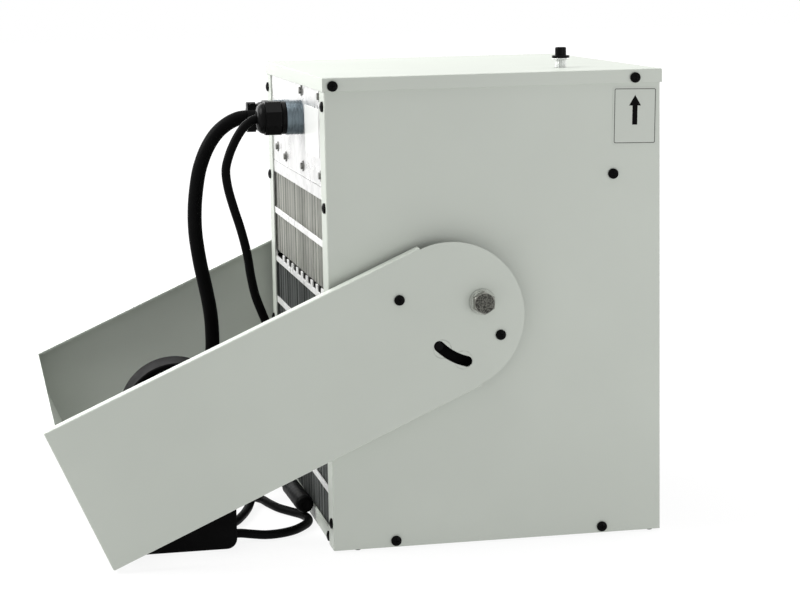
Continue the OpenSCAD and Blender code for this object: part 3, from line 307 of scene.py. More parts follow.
def turned_zinc(name, colour, pitch):
    """Turned die-cast zinc: fine lathe rings across its axis and dull cast patches."""
    g = Graph(name)
    wave = g.node("ShaderNodeTexWave", {"bands_direction": "Y"}, {
        "Vector": g.spot, "Scale": pitch, "Distortion": 0.8, "Detail": 2})
    wave = g.node("ShaderNodeSeparateColor", None, {0: wave}, out="Red")
    dull = g.span(g.noise(120, 4, 0.6), 0.45, 0.70)
    tint = g.blend(dull, colour, [c * 0.66 for c in colour])
    tint = g.blend(0.55 * wave, tint, [c * 1.5 for c in colour])
    return g.surface(Base_Color=tint, Metallic=0.8, Roughness=0.30 + 0.20 * dull,
                     Normal=g.relief(wave + 0.5 * dull, 0.00010, 0.6))


def plated(name, colour, rough=0.30, metal=0.9, gloss=0.5, face=None):
    """Plated or blackened fastener steel with small scuffs; face is the place of a dark outer end."""
    g = Graph(name)
    scuff = g.span(g.noise(520, 4, 0.7), 0.50, 0.70)
    tint = g.blend(scuff, colour, [min(1, c * 1.5) for c in colour])
    if face:
        outer = g.node("ShaderNodeMath", {"operation": "ABSOLUTE"}, {0: g.axis("X")})
        dark = g.span(outer, face - 0.0004, face - 0.0001)
        stain = g.blend(g.span(g.noise(700, 3), 0.4, 0.6), (0.022, 0.022, 0.018), (0.12, 0.12, 0.105))
        tint = g.blend(dark, tint, stain)
        rough = rough + 0.25 * dark
    return g.surface(Base_Color=tint, Metallic=metal, Roughness=rough + 0.2 * scuff,
                     Specular_IOR_Level=gloss, Normal=g.relief(scuff, 0.00005, 0.5))


def heated_tube(name):
    """Stainless heating tube, tinted straw and blue towards its bends."""
    g = Graph(name)
    height = g.span(g.axis("Z") + 0.03 * g.noise(40, 3), 0.05, 0.30)
    tint = g.node("ShaderNodeValToRGB", {"stops": [
        (0.0, (0.16, 0.13, 0.17)), (0.25, (0.26, 0.17, 0.10)), (0.6, (0.36, 0.29, 0.21)),
        (1.0, (0.46, 0.44, 0.42))]}, {0: height})
    return g.surface(Base_Color=tint, Metallic=0.85, Roughness=0.30 + 0.25 * g.noise(200, 3),
                     Normal=g.relief(g.noise(900, 2), 0.00005, 0.4))


def circuit_board(name):
    """Green lacquered board with pale tracks."""
    g = Graph(name)
    cell = g.node("ShaderNodeTexVoronoi", {"feature": "DISTANCE_TO_EDGE", "distance": "EUCLIDEAN"},
                  {"Vector": g.spot, "Scale": 160}, out="Distance")
    track = cell.below(0.06)
    tint = g.blend(track, (0.015, 0.10, 0.035), (0.05, 0.22, 0.09))
    return g.surface(Base_Color=tint, Roughness=0.30 + 0.1 * g.noise(90, 2),
                     Normal=g.relief(track, 0.00004, 0.5))


def printed_film(name, colour, rough=0.34, gloss=0.5):
    """Printed label film, smooth, with a trace of the panel's peel through it."""
    g = Graph(name)
    ripple = g.noise(240, 2)
    tint = g.blend(g.noise(30, 2), [c * 0.985 for c in colour], colour)
    return g.surface(Base_Color=tint, Roughness=rough + 0.08 * ripple, Specular_IOR_Level=gloss,
                     Normal=g.relief(ripple, 0.00003, 0.35))


def make_finishes():
    """Every material, by a short name."""
    look = bpy.context.scene.heater_finish
    coat = tuple(look.coat)
    black = tuple(look.black)
    return {
        "coat": powder_coat("powder_coat", coat),
        "arm_coat": powder_coat("bracket_powder_coat", coat, ARM_RINGS),
        "zinc_sheet": galvanised("galvanised_sheet"),
        "duct_sheet": galvanised("galvanised_duct", 0.70, 0.56),
        "strip": galvanised("galvanised_strip", 0.80, 0.70, 0.15),
        # fin and the dark copy below are lit and shaded copies of one aluminium: the upper fins get the pale,
        # lit tones, the lower fins get dark tones, painted shade where the tilt bracket's shadow falls
        "fin": mill_aluminium("fin_aluminium", (0.42, 0.43, 0.39), (1.0, 1.0, 0.95), 0.008, 0.25),
        "shaded_fin": mill_aluminium("shaded_fin_aluminium", (0.05, 0.055, 0.055), (0.44, 0.46, 0.45),
                                    0.008, 0.25),
        "vane": mill_aluminium("vane_aluminium", (0.62, 0.62, 0.61), (0.72, 0.72, 0.71), 0.09),
        "motor": powder_coat("motor_enamel", (0.020, 0.021, 0.023)),
        "switchgear": moulded("switchgear_plastic", (0.035, 0.036, 0.040), 0.42),
        "terminal": moulded("terminal_plastic", (0.70, 0.68, 0.60), 0.45),
        "black": moulded("black_plastic", black, 0.30, 0.06),
        "unit": moulded("control_unit_plastic", black, 0.55, 0.02, 1100, 0.00012),
        "mark": moulded("white_marking", (0.80, 0.80, 0.78), 0.5),
        "cord": rubber("cord_rubber", black),
        "foot": rubber("foot_rubber", black),
        "sleeve": turned_zinc("turned_zinc", (0.115, 0.145, 0.165), 230),
        "neck": turned_zinc("neck_zinc", (0.62, 0.63, 0.62), 200),
        "bright": plated("bright_zinc_plate", (0.62, 0.62, 0.60)),
        "bolt": plated("bolt_steel", (0.20, 0.20, 0.18), 0.36, 0.6, 0.5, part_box("pivot_bolts")[1].x),
        "washer": plated("dull_zinc_plate", (0.42, 0.44, 0.40), 0.5, 0.3),
        "star": plated("star_washer_steel", (0.20, 0.20, 0.19), 0.36, 0.7),
        "shaft": plated("ground_steel", (0.66, 0.66, 0.66), 0.18),
        "blackened": plated("blackened_steel", (0.0025, 0.0025, 0.0025), 0.34, 0.05, 0.04),
        "tube": heated_tube("heating_tube"),
        "board": circuit_board("circuit_board"),
        "label": printed_film("label_film", [c * 0.93 for c in coat]),
        "plate": printed_film("bare_plate", (0.82, 0.83, 0.81), 0.28),
        "ink": printed_film("label_ink", (0.0015, 0.0015, 0.0015), 0.5, 0.04),
        "thin_ink": printed_film("label_outline_ink", (0.060, 0.064, 0.055), 0.42),
    }


FINISH = {}


def place(work, name, finish, body, nodes=(), slot=None, smooth=50):
    """Makes a piece of a bmesh, shades it, and puts it on its body in place of the nodes."""
    bmesh.ops.recalc_face_normals(work, faces=work.faces)
    for face in work.faces:
        face.smooth = True
    for edge in work.edges:
        edge.smooth = len(edge.link_faces) != 2 or edge.calc_face_angle(0) < math.radians(smooth)
    mesh = bpy.data.meshes.new(name)
    work.to_mesh(mesh)
    work.free()
    piece = bpy.data.objects.new(name, mesh)
    bpy.context.scene.collection.objects.link(piece)
    piece.data.materials.append(FINISH[finish])
    level = piece.modifiers.new("flat faces stay flat", "WEIGHTED_NORMAL")
    level.keep_sharp = True
    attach(piece, body)
    if nodes:
        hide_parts(*nodes)
    return piece


def width_of(face):
    """Rough width of a face: that of a long strip with its area and outline."""
    outline = sum(edge.calc_length() for edge in face.edges)
    return 2 * face.calc_area() / outline if outline else 0


def soften(work, size, rounds, pick):
    """Rounds the convex edges that pick chooses."""
    edges = [edge for edge in work.edges if len(edge.link_faces) == 2 and edge.is_convex
             and edge.calc_face_angle(0) > math.radians(52) and pick(edge)]
    if edges:
        bmesh.ops.bevel(work, geom=edges, offset=size, segments=rounds, profile=0.5,
                        affect="EDGES", clamp_overlap=True)


def shape_of(node):
    """The node's shape as a bmesh, with each flat face in one piece."""
    work = bmesh.new()
    work.from_mesh(frame["nodes"][node].data)
    bmesh.ops.remove_doubles(work, verts=work.verts, dist=1e-6)
    bmesh.ops.dissolve_limit(work, angle_limit=math.radians(0.5), verts=work.verts, edges=work.edges)
    return work


def folded(node, finish, fold=1.4, rim=0.3):
    """A sheet-metal node with a bend radius at its folds and broken edges at its rims."""
    work = shape_of(node)
    if fold:
        soften(work, fold * MM, 4, lambda edge: edge.calc_length() > 0.02
               and min(width_of(face) for face in edge.link_faces) > 0.0025)
    if rim:
        soften(work, rim * MM, 2, lambda edge: edge.calc_length() > 0.0015)
    return place(work, node + "_sheet", finish, BODY_OF[node], (node,))


def rounded(node, finish, size, rounds=3, pick=lambda edge: True):
    """A node with its edges rounded."""
    work = shape_of(node)
    soften(work, size * MM, rounds, pick)
    return place(work, node + "_piece", finish, BODY_OF[node], (node,))


def plain(node, finish):
    """Keeps a node's own shape and gives it its finish."""
    piece = frame["nodes"][node]
    piece.data.materials.clear()
    piece.data.materials.append(FINISH[finish])
    return piece


def lathe(work, profile, start, along, sides=64, scallops=0, depth=0.0, turn=0.0):
    """Turns a profile of (distance along, radius) about an axis, with optional flutes."""
    along = Vector(along).normalized()
    side = along.orthogonal().normalized()
    other = along.cross(side)
    rings = []
    for distance, radius in profile:
        ring = []
        for k in range(sides):
            a = turn + 2 * math.pi * k / sides
            r = radius - depth * (0.5 - 0.5 * math.cos(scallops * a)) * (radius > depth * 2)
            ring.append(work.verts.new(
                Vector(start) + along * distance + side * (r * math.cos(a)) + other * (r * math.sin(a))))
        rings.append(ring)
    for low, high in zip(rings, rings[1:]):
        for k in range(sides):
            m = (k + 1) % sides
            work.faces.new((low[k], low[m], high[m], high[k]))
    work.faces.new(rings[0])
    work.faces.new(rings[-1])


def slab(work, outline, to_place, low, high):
    """Raises a flat outline from low to high; to_place turns (across, up, out) into the frame."""
    near = [work.verts.new(to_place(u, v, low)) for u, v in outline]
    far = [work.verts.new(to_place(u, v, high)) for u, v in outline]
    work.faces.new(near)
    work.faces.new(far)
    for k in range(len(outline)):
        m = (k + 1) % len(outline)
        work.faces.new((near[k], near[m], far[m], far[k]))


def band(work, outer, inner, to_place, low, high):
    """Raises the strip between two outlines with the same number of points."""
    loops = [[work.verts.new(to_place(u, v, out)) for u, v in line]
             for line, out in ((outer, low), (outer, high), (inner, high), (inner, low))]
    for k in range(len(outer)):
        m = (k + 1) % len(outer)
        for a, b in zip(loops, loops[1:] + loops[:1]):
            work.faces.new((a[k], a[m], b[m], b[k]))


def rounded_outline(width, height, radius, steps=6):
    """Points round a rectangle with rounded corners, centred on zero."""
    points = []
    for corner, (sx, sy) in enumerate(((1, 1), (-1, 1), (-1, -1), (1, -1))):
        for k in range(steps + 1):
            a = math.pi / 2 * (corner + k / steps)
            points.append((sx * (width / 2 - radius) + radius * math.cos(a),
                           sy * (height / 2 - radius) + radius * math.sin(a)))
    return points


def smooth_path(route, steps=4):
    """The route in metres, with rounded steps put between its points."""
    p = [Vector(point) * MM for point in route]
    p = [2 * p[0] - p[1]] + p + [2 * p[-1] - p[-2]]
    path = []
    for a, b, c, d in zip(p, p[1:], p[2:], p[3:]):
        for k in range(steps):
            t = k / steps
            path.append(0.5 * (2 * b + (c - a) * t + (2 * a - 5 * b + 4 * c - d) * t * t
                               + (3 * b - a - 3 * c + d) * t ** 3))
    return path + [p[-2]]


def path_length(path):
    return sum((b - a).length for a, b in zip(path, path[1:]))


def cord_curve(name, path, diameter, node):
    """A round cord along a path, as a curve of one open spline."""
    curve = bpy.data.curves.new(name, "CURVE")
    curve.dimensions = "3D"
    curve.bevel_depth = diameter / 2
    curve.bevel_resolution = 7
    curve.use_fill_caps = True
    spline = curve.splines.new("POLY")
    spline.points.add(len(path) - 1)
    for point, spot in zip(spline.points, path):
        point.co = (*spot, 1)
    spline.use_smooth = True
    piece = bpy.data.objects.new(name, curve)
    bpy.context.scene.collection.objects.link(piece)
    curve.materials.append(FINISH["cord"])
    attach(piece, BODY_OF[node])
    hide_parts(node)
    return piece


class HeaterFinish(bpy.types.PropertyGroup):
    """Colours that a user would change."""
    coat: bpy.props.FloatVectorProperty(
        name="Powder coat", description="Colour of the painted sheets", subtype="COLOR", size=3,
        min=0, max=1, default=(0.522, 0.555, 0.504))
    black: bpy.props.FloatVectorProperty(
        name="Black", description="Colour of the black plastic and rubber", subtype="COLOR", size=3,
        min=0, max=1, default=(0.0028, 0.0028, 0.0029))


class HeaterSizes(bpy.types.PropertyGroup):
    """Sizes that belong to the looks; the rest comes from the frame."""
    fold: bpy.props.FloatProperty(
        name="Fold radius", description="Outer radius of the folded sheet edges, in millimetres",
        default=1.4, min=0.2, max=3)
    power_cord: bpy.props.FloatProperty(
        name="Power cord", description="Diameter of the power cord", unit="LENGTH", default=0.0145)
    control_cord: bpy.props.FloatProperty(
        name="Control cord", description="Diameter of the control cord", unit="LENGTH", default=0.0088)
    lens: bpy.props.FloatProperty(
        name="Lens", description="Focal length of the camera, in millimetres", default=99.034)


class HEATER_OT_stage(bpy.types.Operator):
    """Sets up the camera, the lamps, the floor and the backdrop"""
    bl_idname = "heater.stage"
    bl_label = "Stage"

    def execute(self, context):
        scene = context.scene
        scene.view_settings.view_transform = "Standard"
        forward, across, up = (Vector(axis) for axis in CAMERA_AXES)
        roll = math.radians(CAMERA_ROLL)
        right = math.cos(roll) * across + math.sin(roll) * up
        top = -math.sin(roll) * across + math.cos(roll) * up
        data = bpy.data.cameras.new("camera")
        data.lens = scene.heater_sizes.lens
        data.sensor_width = 36
        data.sensor_fit = "HORIZONTAL"
        camera = bpy.data.objects.new("camera", data)
        scene.collection.objects.link(camera)
        rows = zip(right, top, -forward, CAMERA_SPOT)
        camera.matrix_world = Matrix((*rows, (0, 0, 0, 1)))
        scene.camera = camera
        self.sky(scene)
        for name, spot, size, power, colour in LAMPS:
            lamp = bpy.data.lights.new(name, "AREA")
            lamp.shape, lamp.size, lamp.energy, lamp.color = "SQUARE", size, power, colour
            holder = bpy.data.objects.new(name, lamp)
            scene.collection.objects.link(holder)
            holder.location = spot
            aim = Vector(LAMP_AIM) - Vector(spot)
            holder.rotation_euler = aim.to_track_quat("-Z", "Y").to_euler()
        self.floor(scene)
        return {"FINISHED"}

    def sky(self, scene):
        world = bpy.data.worlds.new("studio")
        scene.world = world
        g = Graph("studio", world)
        white = (1, 1, 1, 1)
        lit = g.node("ShaderNodeBackground", None, {"Color": white, "Strength": SKY_LIGHT})
        shown = g.node("ShaderNodeBackground", None, {"Color": white, "Strength": SKY_SHOWN})
        g.close(g.node("ShaderNodeMixShader", None, {0: g.seen(), 1: lit, 2: shown}),
                "ShaderNodeOutputWorld")

    def floor(self, scene):
        g = Graph("floor")
        matt = g.node("ShaderNodeBsdfDiffuse", None, {"Color": (*[FLOOR_GREY] * 3, 1)})
        glow = g.node("ShaderNodeEmission", None, {"Color": (1, 1, 1, 1), "Strength": FLOOR_GLOW})
        away = g.node("ShaderNodeVectorMath", {"operation": "LENGTH"}, {0: g.spot}, out="Value")
        share = 0.5 + g.seen() * g.span(away, 0.7, 2.0, 0.26, 0.5)
        g.close(g.node("ShaderNodeMixShader", None, {0: share, 1: matt, 2: glow}))
        work = bmesh.new()
        corners = [work.verts.new((x * FLOOR_HALF, y * FLOOR_HALF, FLOOR_Z))
                   for x, y in ((-1, -1), (1, -1), (1, 1), (-1, 1))]
        work.faces.new(corners)
        mesh = bpy.data.meshes.new("floor")
        work.to_mesh(mesh)
        work.free()
        mesh.materials.append(g.owner)
        floor = bpy.data.objects.new("floor", mesh)
        scene.collection.objects.link(floor)


class HEATER_OT_cords(bpy.types.Operator):
    """Lays the power cord, with the sleeve on its end, and the control cord"""
    bl_idname = "heater.cords"
    bl_label = "Cords"

    def execute(self, context):
        sizes = context.scene.heater_sizes
        control = smooth_path(CONTROL_ROUTE)
        power = smooth_path(POWER_ROUTE)
        thin = cord_curve("control_cord_run", control, sizes.control_cord, "control_cord")
        thick = cord_curve("power_cord_run", power, sizes.power_cord, "power_cord")
        tip, back = power[-1], Vector(POWER_ROUTE[-4]) * MM
        work = bmesh.new()
        full, free = 0.0091, 0.0079
        ribs, rib_step = 22, 0.004
        profile = [(-0.092, free - 0.0002), (-0.0915, free + 0.0004), (-0.090, full - 0.0003)]
        profile += [(-0.088 + rib_step * k, full - 0.00018 * (k % 3 == 1) - 0.0001 * (k % 2))
                    for k in range(ribs)]
        profile += [(0.0005 + 0.0062 * math.sin(a), full - 0.0030 * (1 - math.cos(a)))
                    for a in (0.2, 0.5, 0.8, 1.1, 1.4)]
        profile += [(0.0069, 0.0045), (0.00695, 0.0036), (0.0064, 0.0030), (0.0063, 0.0004)]
        lathe(work, profile, tip, tip - back, 48)
        cap = place(work, "cord_end_sleeve", "cord", BODY_OF["cord_end_cap"], ("cord_end_cap",))
        round(path_length(control), 4)
        round(path_length(power), 4)
        return {"FINISHED"}


class HEATER_OT_casing(bpy.types.Operator):
    """Folds the casing's painted sheets and its feet"""
    bl_idname = "heater.casing"
    bl_label = "Casing"

    def execute(self, context):
        fold = context.scene.heater_sizes.fold
        for node in ("base_pan", "side_panel_left", "side_panel_right", "top_lid", "front_panel"):
            folded(node, "coat", fold)
        folded("rear_plate", "zinc_sheet", 0)
        folded("divider_shelf", "zinc_sheet", 1.0)
        rounded("base_feet", "foot", 0.5)
        return {"FINISHED"}


class HEATER_OT_intake(bpy.types.Operator):
    """Finishes the intake's fins, bars and slotted rail"""
    bl_idname = "heater.intake"
    bl_label = "Intake"

    def execute(self, context):
        rail = folded("mid_rail", "strip", 0.8, 0.2)
        # The rail's web behind the notches gets black rubber: painted shade, so the notches look dark
        rail.data.materials.append(FINISH["foot"])
        shaded_web_depth = 0.0017
        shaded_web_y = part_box("mid_rail")[1].y - shaded_web_depth
        for face in rail.data.polygons:
            if face.center.y < shaded_web_y:
                face.material_index = 1
        folded("fin_bars", "strip", 0, 0.3)
        # The upper fins take the pale, lit copy. The lower fins take the dark copy: painted shade of the tilt
        # bracket's shadow.
        plain("fins_upper", "fin")
        plain("fins_lower", "shaded_fin")
        return {"FINISHED"}


class HEATER_OT_outlet(bpy.types.Operator):
    """Finishes the louvre vanes and their carriers"""
    bl_idname = "heater.outlet"
    bl_label = "Outlet"

    def execute(self, context):
        for k in range(1, 7):
            plain("vane_%d" % k, "vane")
        folded("vane_carrier_left", "duct_sheet", 0.8, 0.2)
        folded("vane_carrier_right", "duct_sheet", 0.8, 0.2)
        return {"FINISHED"}


class HEATER_OT_airway(bpy.types.Operator):
    """Finishes the fan, its motor, the shroud and the heating tubes"""
    bl_idname = "heater.airway"
    bl_label = "Fan and heating tubes"

    def execute(self, context):
        folded("fan_shroud", "duct_sheet", 0, 0.4)
        folded("motor_strap", "duct_sheet", 1.2)
        rounded("fan_motor", "motor", 0.5, 2)
        plain("motor_bearings", "shaft")
        rounded("motor_shaft", "shaft", 0.8)
        rounded("fan_rotor", "motor", 0.4, 2)
        plain("heating_elements", "tube")
        folded("element_support", "duct_sheet", 0, 0.2)
        return {"FINISHED"}


class HEATER_OT_electrics(bpy.types.Operator):
    """Finishes the terminals, contactors, mounting rail and cut-out"""
    bl_idname = "heater.electrics"
    bl_label = "Electrics"

    def execute(self, context):
        folded("mounting_rail", "zinc_sheet", 0, 0.2)
        rounded("terminal_block", "terminal", 0.4, 2)
        rounded("contactors", "switchgear", 0.8)
        folded("cutout_bracket", "duct_sheet", 1.0)
        rounded("cutout_body", "switchgear", 1.0)
        return {"FINISHED"}


class HEATER_OT_reset(bpy.types.Operator):
    """Builds the reset button, its collar and its threaded neck"""
    bl_idname = "heater.reset"
    bl_label = "Reset button"

    def execute(self, context):
        low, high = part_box("reset_neck")
        centre = (low + high) / 2
        lid_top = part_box("top_lid")[1].z
        work = bmesh.new()
        thread, flange, pitch = 0.0054, 0.0082, 0.0012
        profile = [(0, 0.003), (0, thread)]
        z = 0.001
        while low.z + z < high.z - 0.0025:
            profile += [(z, thread), (z + 0.0003, thread - 0.0005),
                        (z + 0.0006, thread - 0.0005), (z + 0.0009, thread)]
            z += pitch
        top = high.z - low.z
        profile += [(top - 0.0016, thread), (top - 0.0013, flange - 0.0003), (top - 0.0010, flange),
                    (top - 0.0003, flange), (top, flange - 0.0003), (top, 0.003)]
        lathe(work, profile, (centre.x, centre.y, low.z), (0, 0, 1), 48)
        nut, nut_drop = 0.0085, 0.0046
        lathe(work, [(0, 0.005), (0, nut), (0.0024, nut), (0.0028, nut - 0.0004), (0.0028, 0.005)],
              (centre.x, centre.y, lid_top - nut_drop), (0, 0, 1), 6)
        place(work, "reset_neck_thread", "neck", BODY_OF["reset_neck"], ("reset_neck",))
        rounded("reset_collar", "black", 0.5)
        rounded("reset_button", "black", 1.3, 5, lambda edge: edge.verts[0].co.z > lid_top + 0.015)
        return {"FINISHED"}


class HEATER_OT_glands(bpy.types.Operator):
    """Finishes the two cable glands and the cord clamp"""
    bl_idname = "heater.glands"
    bl_label = "Cable glands"

    def execute(self, context):
        rounded("gland_sleeves", "sleeve", 0.2, 2)
        sizes = context.scene.heater_sizes
        self.gland("control_gland", sizes.control_cord)
        self.gland("power_gland", sizes.power_cord)
        rounded("gland_clamp", "black", 0.6)
        return {"FINISHED"}

    @staticmethod
    def gland(node, cord):
        """A domed cap, an eight-sided nut with broken corners and a ring, on the cord's axis."""
        low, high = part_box(node)
        start = ((low.x + high.x) / 2, high.y, (low.z + high.z) / 2)
        length = high.y - low.y
        corner = (high.x - low.x) / 2 / math.cos(math.radians(22.5))
        mouth, ring, dome = cord / 2 + 0.0045, corner - 0.0015, 0.007
        wide = ring - 0.0008
        work = bmesh.new()
        profile = [(0.0040, cord / 2 + 0.0002), (0.0003, cord / 2 + 0.0022), (0, mouth - 0.0012)]
        for k in range(9):
            a = math.radians(10 * k)
            profile.append((0.0004 + (dome - 0.0004) * (1 - math.cos(a)) ** 0.85,
                            mouth + (wide - mouth) * math.sin(a) ** 0.9))
        profile += [(dome, wide), (dome, cord / 2 + 0.002)]
        lathe(work, profile, start, (0, -1, 0), 96)
        lathe(work, [(dome - 0.0002, wide - 0.006), (dome - 0.0002, wide - 0.0006), (dome + 0.0008, corner),
                     (length - 0.0052, corner), (length - 0.0040, ring - 0.0002), (length - 0.0040, 0.008)],
              start, (0, -1, 0), 8, turn=math.radians(22.5))
        lathe(work, [(length - 0.0042, 0.008), (length - 0.0042, ring), (length - 0.0006, ring),
                     (length, ring - 0.0006), (length, 0.008)], start, (0, -1, 0), 96)
        place(work, node + "_body", "black", BODY_OF[node], (node,), smooth=32)


class HEATER_OT_control_unit(bpy.types.Operator):
    """Builds the wired control unit with its knobs and dial marks"""
    bl_idname = "heater.control_unit"
    bl_label = "Control unit"

    def execute(self, context):
        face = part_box("control_front_shell")[0].x
        rounded("control_front_shell", "unit", 2.2, 5,
                lambda edge: max(v.co.x for v in edge.verts) < face + 0.0003 and not self.by_knob(edge))
        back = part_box("control_back_shell")[1].x
        rounded("control_back_shell", "unit", 2.0, 5,
                lambda edge: min(v.co.x for v in edge.verts) > back - 0.0003 and edge.calc_length() > 0.0008
                and not self.by_screw(edge))
        plain("control_board", "board")
        rounded("control_screws", "bright", 0.4)
        rounded("cord_grommet", "cord", 0.6)
        for node, marks in KNOBS:
            self.knob(node)
            self.marks(node, marks, face)
        return {"FINISHED"}

    @staticmethod
    def by_knob(edge):
        for node, _ in KNOBS:
            low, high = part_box(node)
            if (edge.verts[0].co.yz - ((low + high) / 2).yz).length < 0.01:
                return True
        return False

    @staticmethod
    def by_screw(edge):
        return any((edge.verts[0].co.yz - Vector(spot)).length < 0.006 for spot in UNIT_SCREWS)

    def knob(self, node):
        low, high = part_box(node)
        middle = Vector((0, (low.y + high.y) / 2, low.z + (high.y - low.y) / 2))
        radius = (high.y - low.y) / 2
        reach = KNOB_SEAT - low.x
        work = bmesh.new()
        start = (KNOB_SEAT, middle.y, middle.z)
        lathe(work, [(0, 0.004), (0, radius - 0.0004), (0.0006, radius), (0.0024, radius),
                     (0.0036, radius - 0.0012), (0.0040, radius - 0.0030), (0.0040, 0.004)],
              start, (-1, 0, 0), 96)
        grip = radius - 0.0045
        lathe(work, [(0.0038, 0.004), (0.0038, grip), (reach - 0.0022, grip - 0.0009),
                     (reach - 0.0008, grip - 0.0018), (reach, grip - 0.0034), (reach, 0.002)],
              start, (-1, 0, 0), 144, 18, 0.0011)
        lathe(work, [(-0.0100, 0.0012), (-0.0100, 0.0029), (0.0005, 0.0029), (0.0005, 0.0012)],
              start, (-1, 0, 0), 32)
        place(work, node + "_grip", "black", BODY_OF[node], (node,))
        work = bmesh.new()
        for inner, outer, rise in ((0.003, grip - 0.0042, reach), (radius - 0.0036, radius - 0.0012, 0.0035)):
            outline = [(-0.0007, inner), (0.0007, inner), (0.0007, outer), (-0.0007, outer)]
            slab(work, outline, lambda u, v, out: (KNOB_SEAT - out, middle.y + u, middle.z + v),
                 rise - 0.0002, rise + 0.00015)
        place(work, node + "_pointer", "mark", BODY_OF[node], (), SLOT_OF[node])

    def marks(self, node, count, face):
        low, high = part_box(node)
        radius = (high.y - low.y) / 2
        y, z = (low.y + high.y) / 2, low.z + radius
        work = bmesh.new()
        reach = 135 if count > 5 else 90
        for k in range(count):
            a = math.radians(-reach + 2 * reach * k / (count - 1))
            long = 0.0032 if k % 5 == 0 or count < 5 else 0.0020
            side, out = Vector((math.cos(a), -math.sin(a))), Vector((math.sin(a), math.cos(a)))
            outline = []
            for u, v in ((-0.0004, 0), (0.0004, 0), (0.0004, long), (-0.0004, long)):
                q = side * u + out * (radius + 0.0018 + v)
                outline.append((q.x, q.y))
            slab(work, outline, lambda u, v, rise: (face - rise, y - u, z + v), -0.0001, 0.00008)
        place(work, node + "_dial_marks", "mark", BODY_OF["control_front_shell"], (),
              SLOT_OF["control_front_shell"])


class HEATER_OT_bracket(bpy.types.Operator):
    """Folds the tilt bracket and finishes its pivots, pads and stops"""
    bl_idname = "heater.bracket"
    bl_label = "Tilt bracket"

    def execute(self, context):
        folded("tilt_bracket", "arm_coat", context.scene.heater_sizes.fold + 0.2, 0.3)
        rounded("pivot_pads", "black", 0.6)
        rounded("pivot_plates", "zinc_sheet", 0.5, 2)
        rounded("pivot_bolts", "bolt", 0.35, 3)
        rounded("pivot_washers", "washer", 0.25, 2)
        rounded("stop_studs", "blackened", 0.4, 2)
        rounded("pad_screws", "blackened", 0.15, 2)
        # Black strips behind the slots: painted shade
        self.shade_strips()
        return {"FINISHED"}

    def shade_strips(self):
        """Black strip on each side panel along the travel of the bracket's slot: painted shade, so the panel
        seen through the slot looks dark.
        """
        pivot = [(a + b) / 2 for a, b in zip(*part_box("pivot_bolts"))]
        low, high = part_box("stop_studs")
        stud = Vector(((low.y + high.y) / 2 - pivot[1], (low.z + high.z) / 2 - pivot[2]))
        middle = math.atan2(stud.y, stud.x)
        reach, half, steps = math.radians(36), 0.0085, 48
        turns = [middle - reach + 2 * reach * k / steps for k in range(steps + 1)]
        edge = [(stud.length + half) * Vector((math.cos(a), math.sin(a))) for a in turns]
        edge += [(stud.length - half) * Vector((math.cos(a), math.sin(a))) for a in reversed(turns)]
        work = bmesh.new()
        for side in (-1, 1):
            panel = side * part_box("side_panel_right")[1].x
            slab(work, edge, lambda u, v, out: (panel + side * out, pivot[1] + u, pivot[2] + v), 0.0, 0.0004)
        place(work, "slot_shade_strips", "cord", BODY_OF["stop_studs"], (), SLOT_OF["stop_studs"])


class HEATER_OT_fasteners(bpy.types.Operator):
    """Finishes the casing's screws"""
    bl_idname = "heater.fasteners"
    bl_label = "Fasteners"

    def execute(self, context):
        plain("casing_screws", "blackened")
        rounded("star_screws", "star", 0.12, 2)
        return {"FINISHED"}


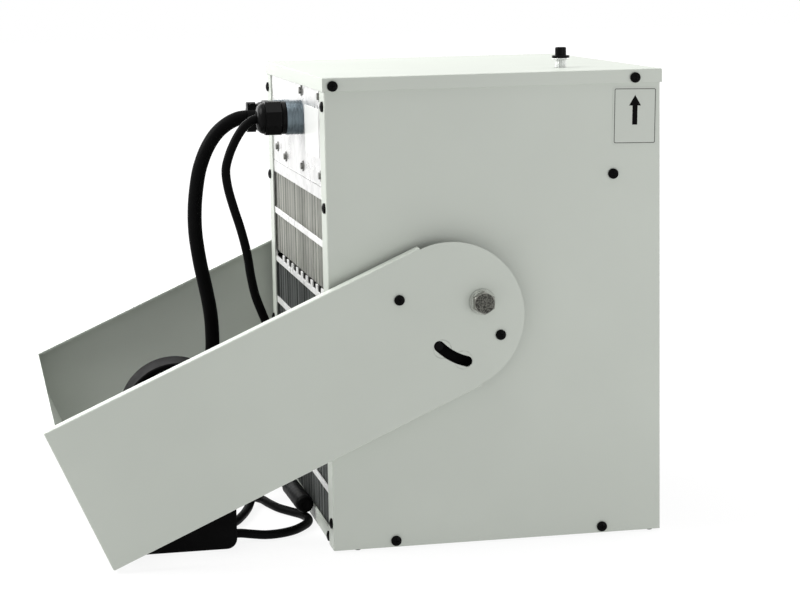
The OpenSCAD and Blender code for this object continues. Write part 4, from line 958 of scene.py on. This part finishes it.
class HEATER_OT_labels(bpy.types.Operator):
    """Builds the arrow's label and the bare plate beside the glands"""
    bl_idname = "heater.labels"
    bl_label = "Labels"

    def execute(self, context):
        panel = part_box("side_panel_left")[0].x
        y, z = LABEL_SPOT
        skew = math.radians(LABEL_SKEW)

        def to_panel(u, v, out):
            return (panel - out, y - u * math.cos(skew) + v * math.sin(skew),
                    z + u * math.sin(skew) + v * math.cos(skew))

        work = bmesh.new()
        slab(work, rounded_outline(*LABEL_SIZE, 0.0022), to_panel, 0.0, 0.0003)
        place(work, "arrow_label", "label", BODY_OF["label_plates"], ("label_plates",))
        work = bmesh.new()
        band(work, rounded_outline(0.0405, 0.0515, 0.0016), rounded_outline(0.0390, 0.0500, 0.0010),
             to_panel, 0.0002, 0.00036)
        place(work, "arrow_label_outline", "thin_ink", BODY_OF["label_plates"], (), SLOT_OF["label_plates"])
        work = bmesh.new()
        slab(work, [(-0.0025, -0.0083), (0.0025, -0.0083), (0.0025, 0.0097), (0.0058, 0.0097),
                    (0, 0.0197), (-0.0058, 0.0097), (-0.0025, 0.0097)], to_panel, 0.0002, 0.00038)
        place(work, "arrow", "ink", BODY_OF["label_plates"], (), SLOT_OF["label_plates"])
        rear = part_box("rear_plate")[1].y
        work = bmesh.new()
        x, z = PLATE_SPOT
        slab(work, rounded_outline(*PLATE_SIZE, 0.0025),
             lambda u, v, out: (x + u, rear + out, z + v), 0.0, 0.0004)
        place(work, "bare_rating_plate", "plate", BODY_OF["label_plates"], (), SLOT_OF["label_plates"])
        return {"FINISHED"}


OPERATORS = (HEATER_OT_stage, HEATER_OT_cords, HEATER_OT_casing, HEATER_OT_intake, HEATER_OT_outlet,
             HEATER_OT_airway, HEATER_OT_electrics, HEATER_OT_reset, HEATER_OT_glands,
             HEATER_OT_control_unit, HEATER_OT_bracket, HEATER_OT_fasteners, HEATER_OT_labels)


class HEATER_PT_pieces(bpy.types.Panel):
    """Lists the heater's pieces"""
    bl_idname = "HEATER_PT_pieces"
    bl_label = "Fan heater"
    bl_space_type = "VIEW_3D"
    bl_region_type = "UI"
    bl_category = "Heater"

    def draw(self, context):
        column = self.layout.column()
        for group in (context.scene.heater_finish, context.scene.heater_sizes):
            for key in type(group).__annotations__:
                column.prop(group, key)
        for operator in OPERATORS:
            column.operator(operator.bl_idname)


CLASSES = (HeaterFinish, HeaterSizes) + OPERATORS + (HEATER_PT_pieces,)


def register():
    for kind in CLASSES:
        bpy.utils.register_class(kind)
    bpy.types.Scene.heater_finish = bpy.props.PointerProperty(type=HeaterFinish)
    bpy.types.Scene.heater_sizes = bpy.props.PointerProperty(type=HeaterSizes)


def unregister():
    del bpy.types.Scene.heater_sizes
    del bpy.types.Scene.heater_finish
    for kind in reversed(CLASSES):
        bpy.utils.unregister_class(kind)


def main():
    register()
    FINISH.update(make_finishes())
    for operator in OPERATORS:
        group, name = operator.bl_idname.split(".")
        getattr(getattr(bpy.ops, group), name)()


if __name__ == "__main__":
    main()
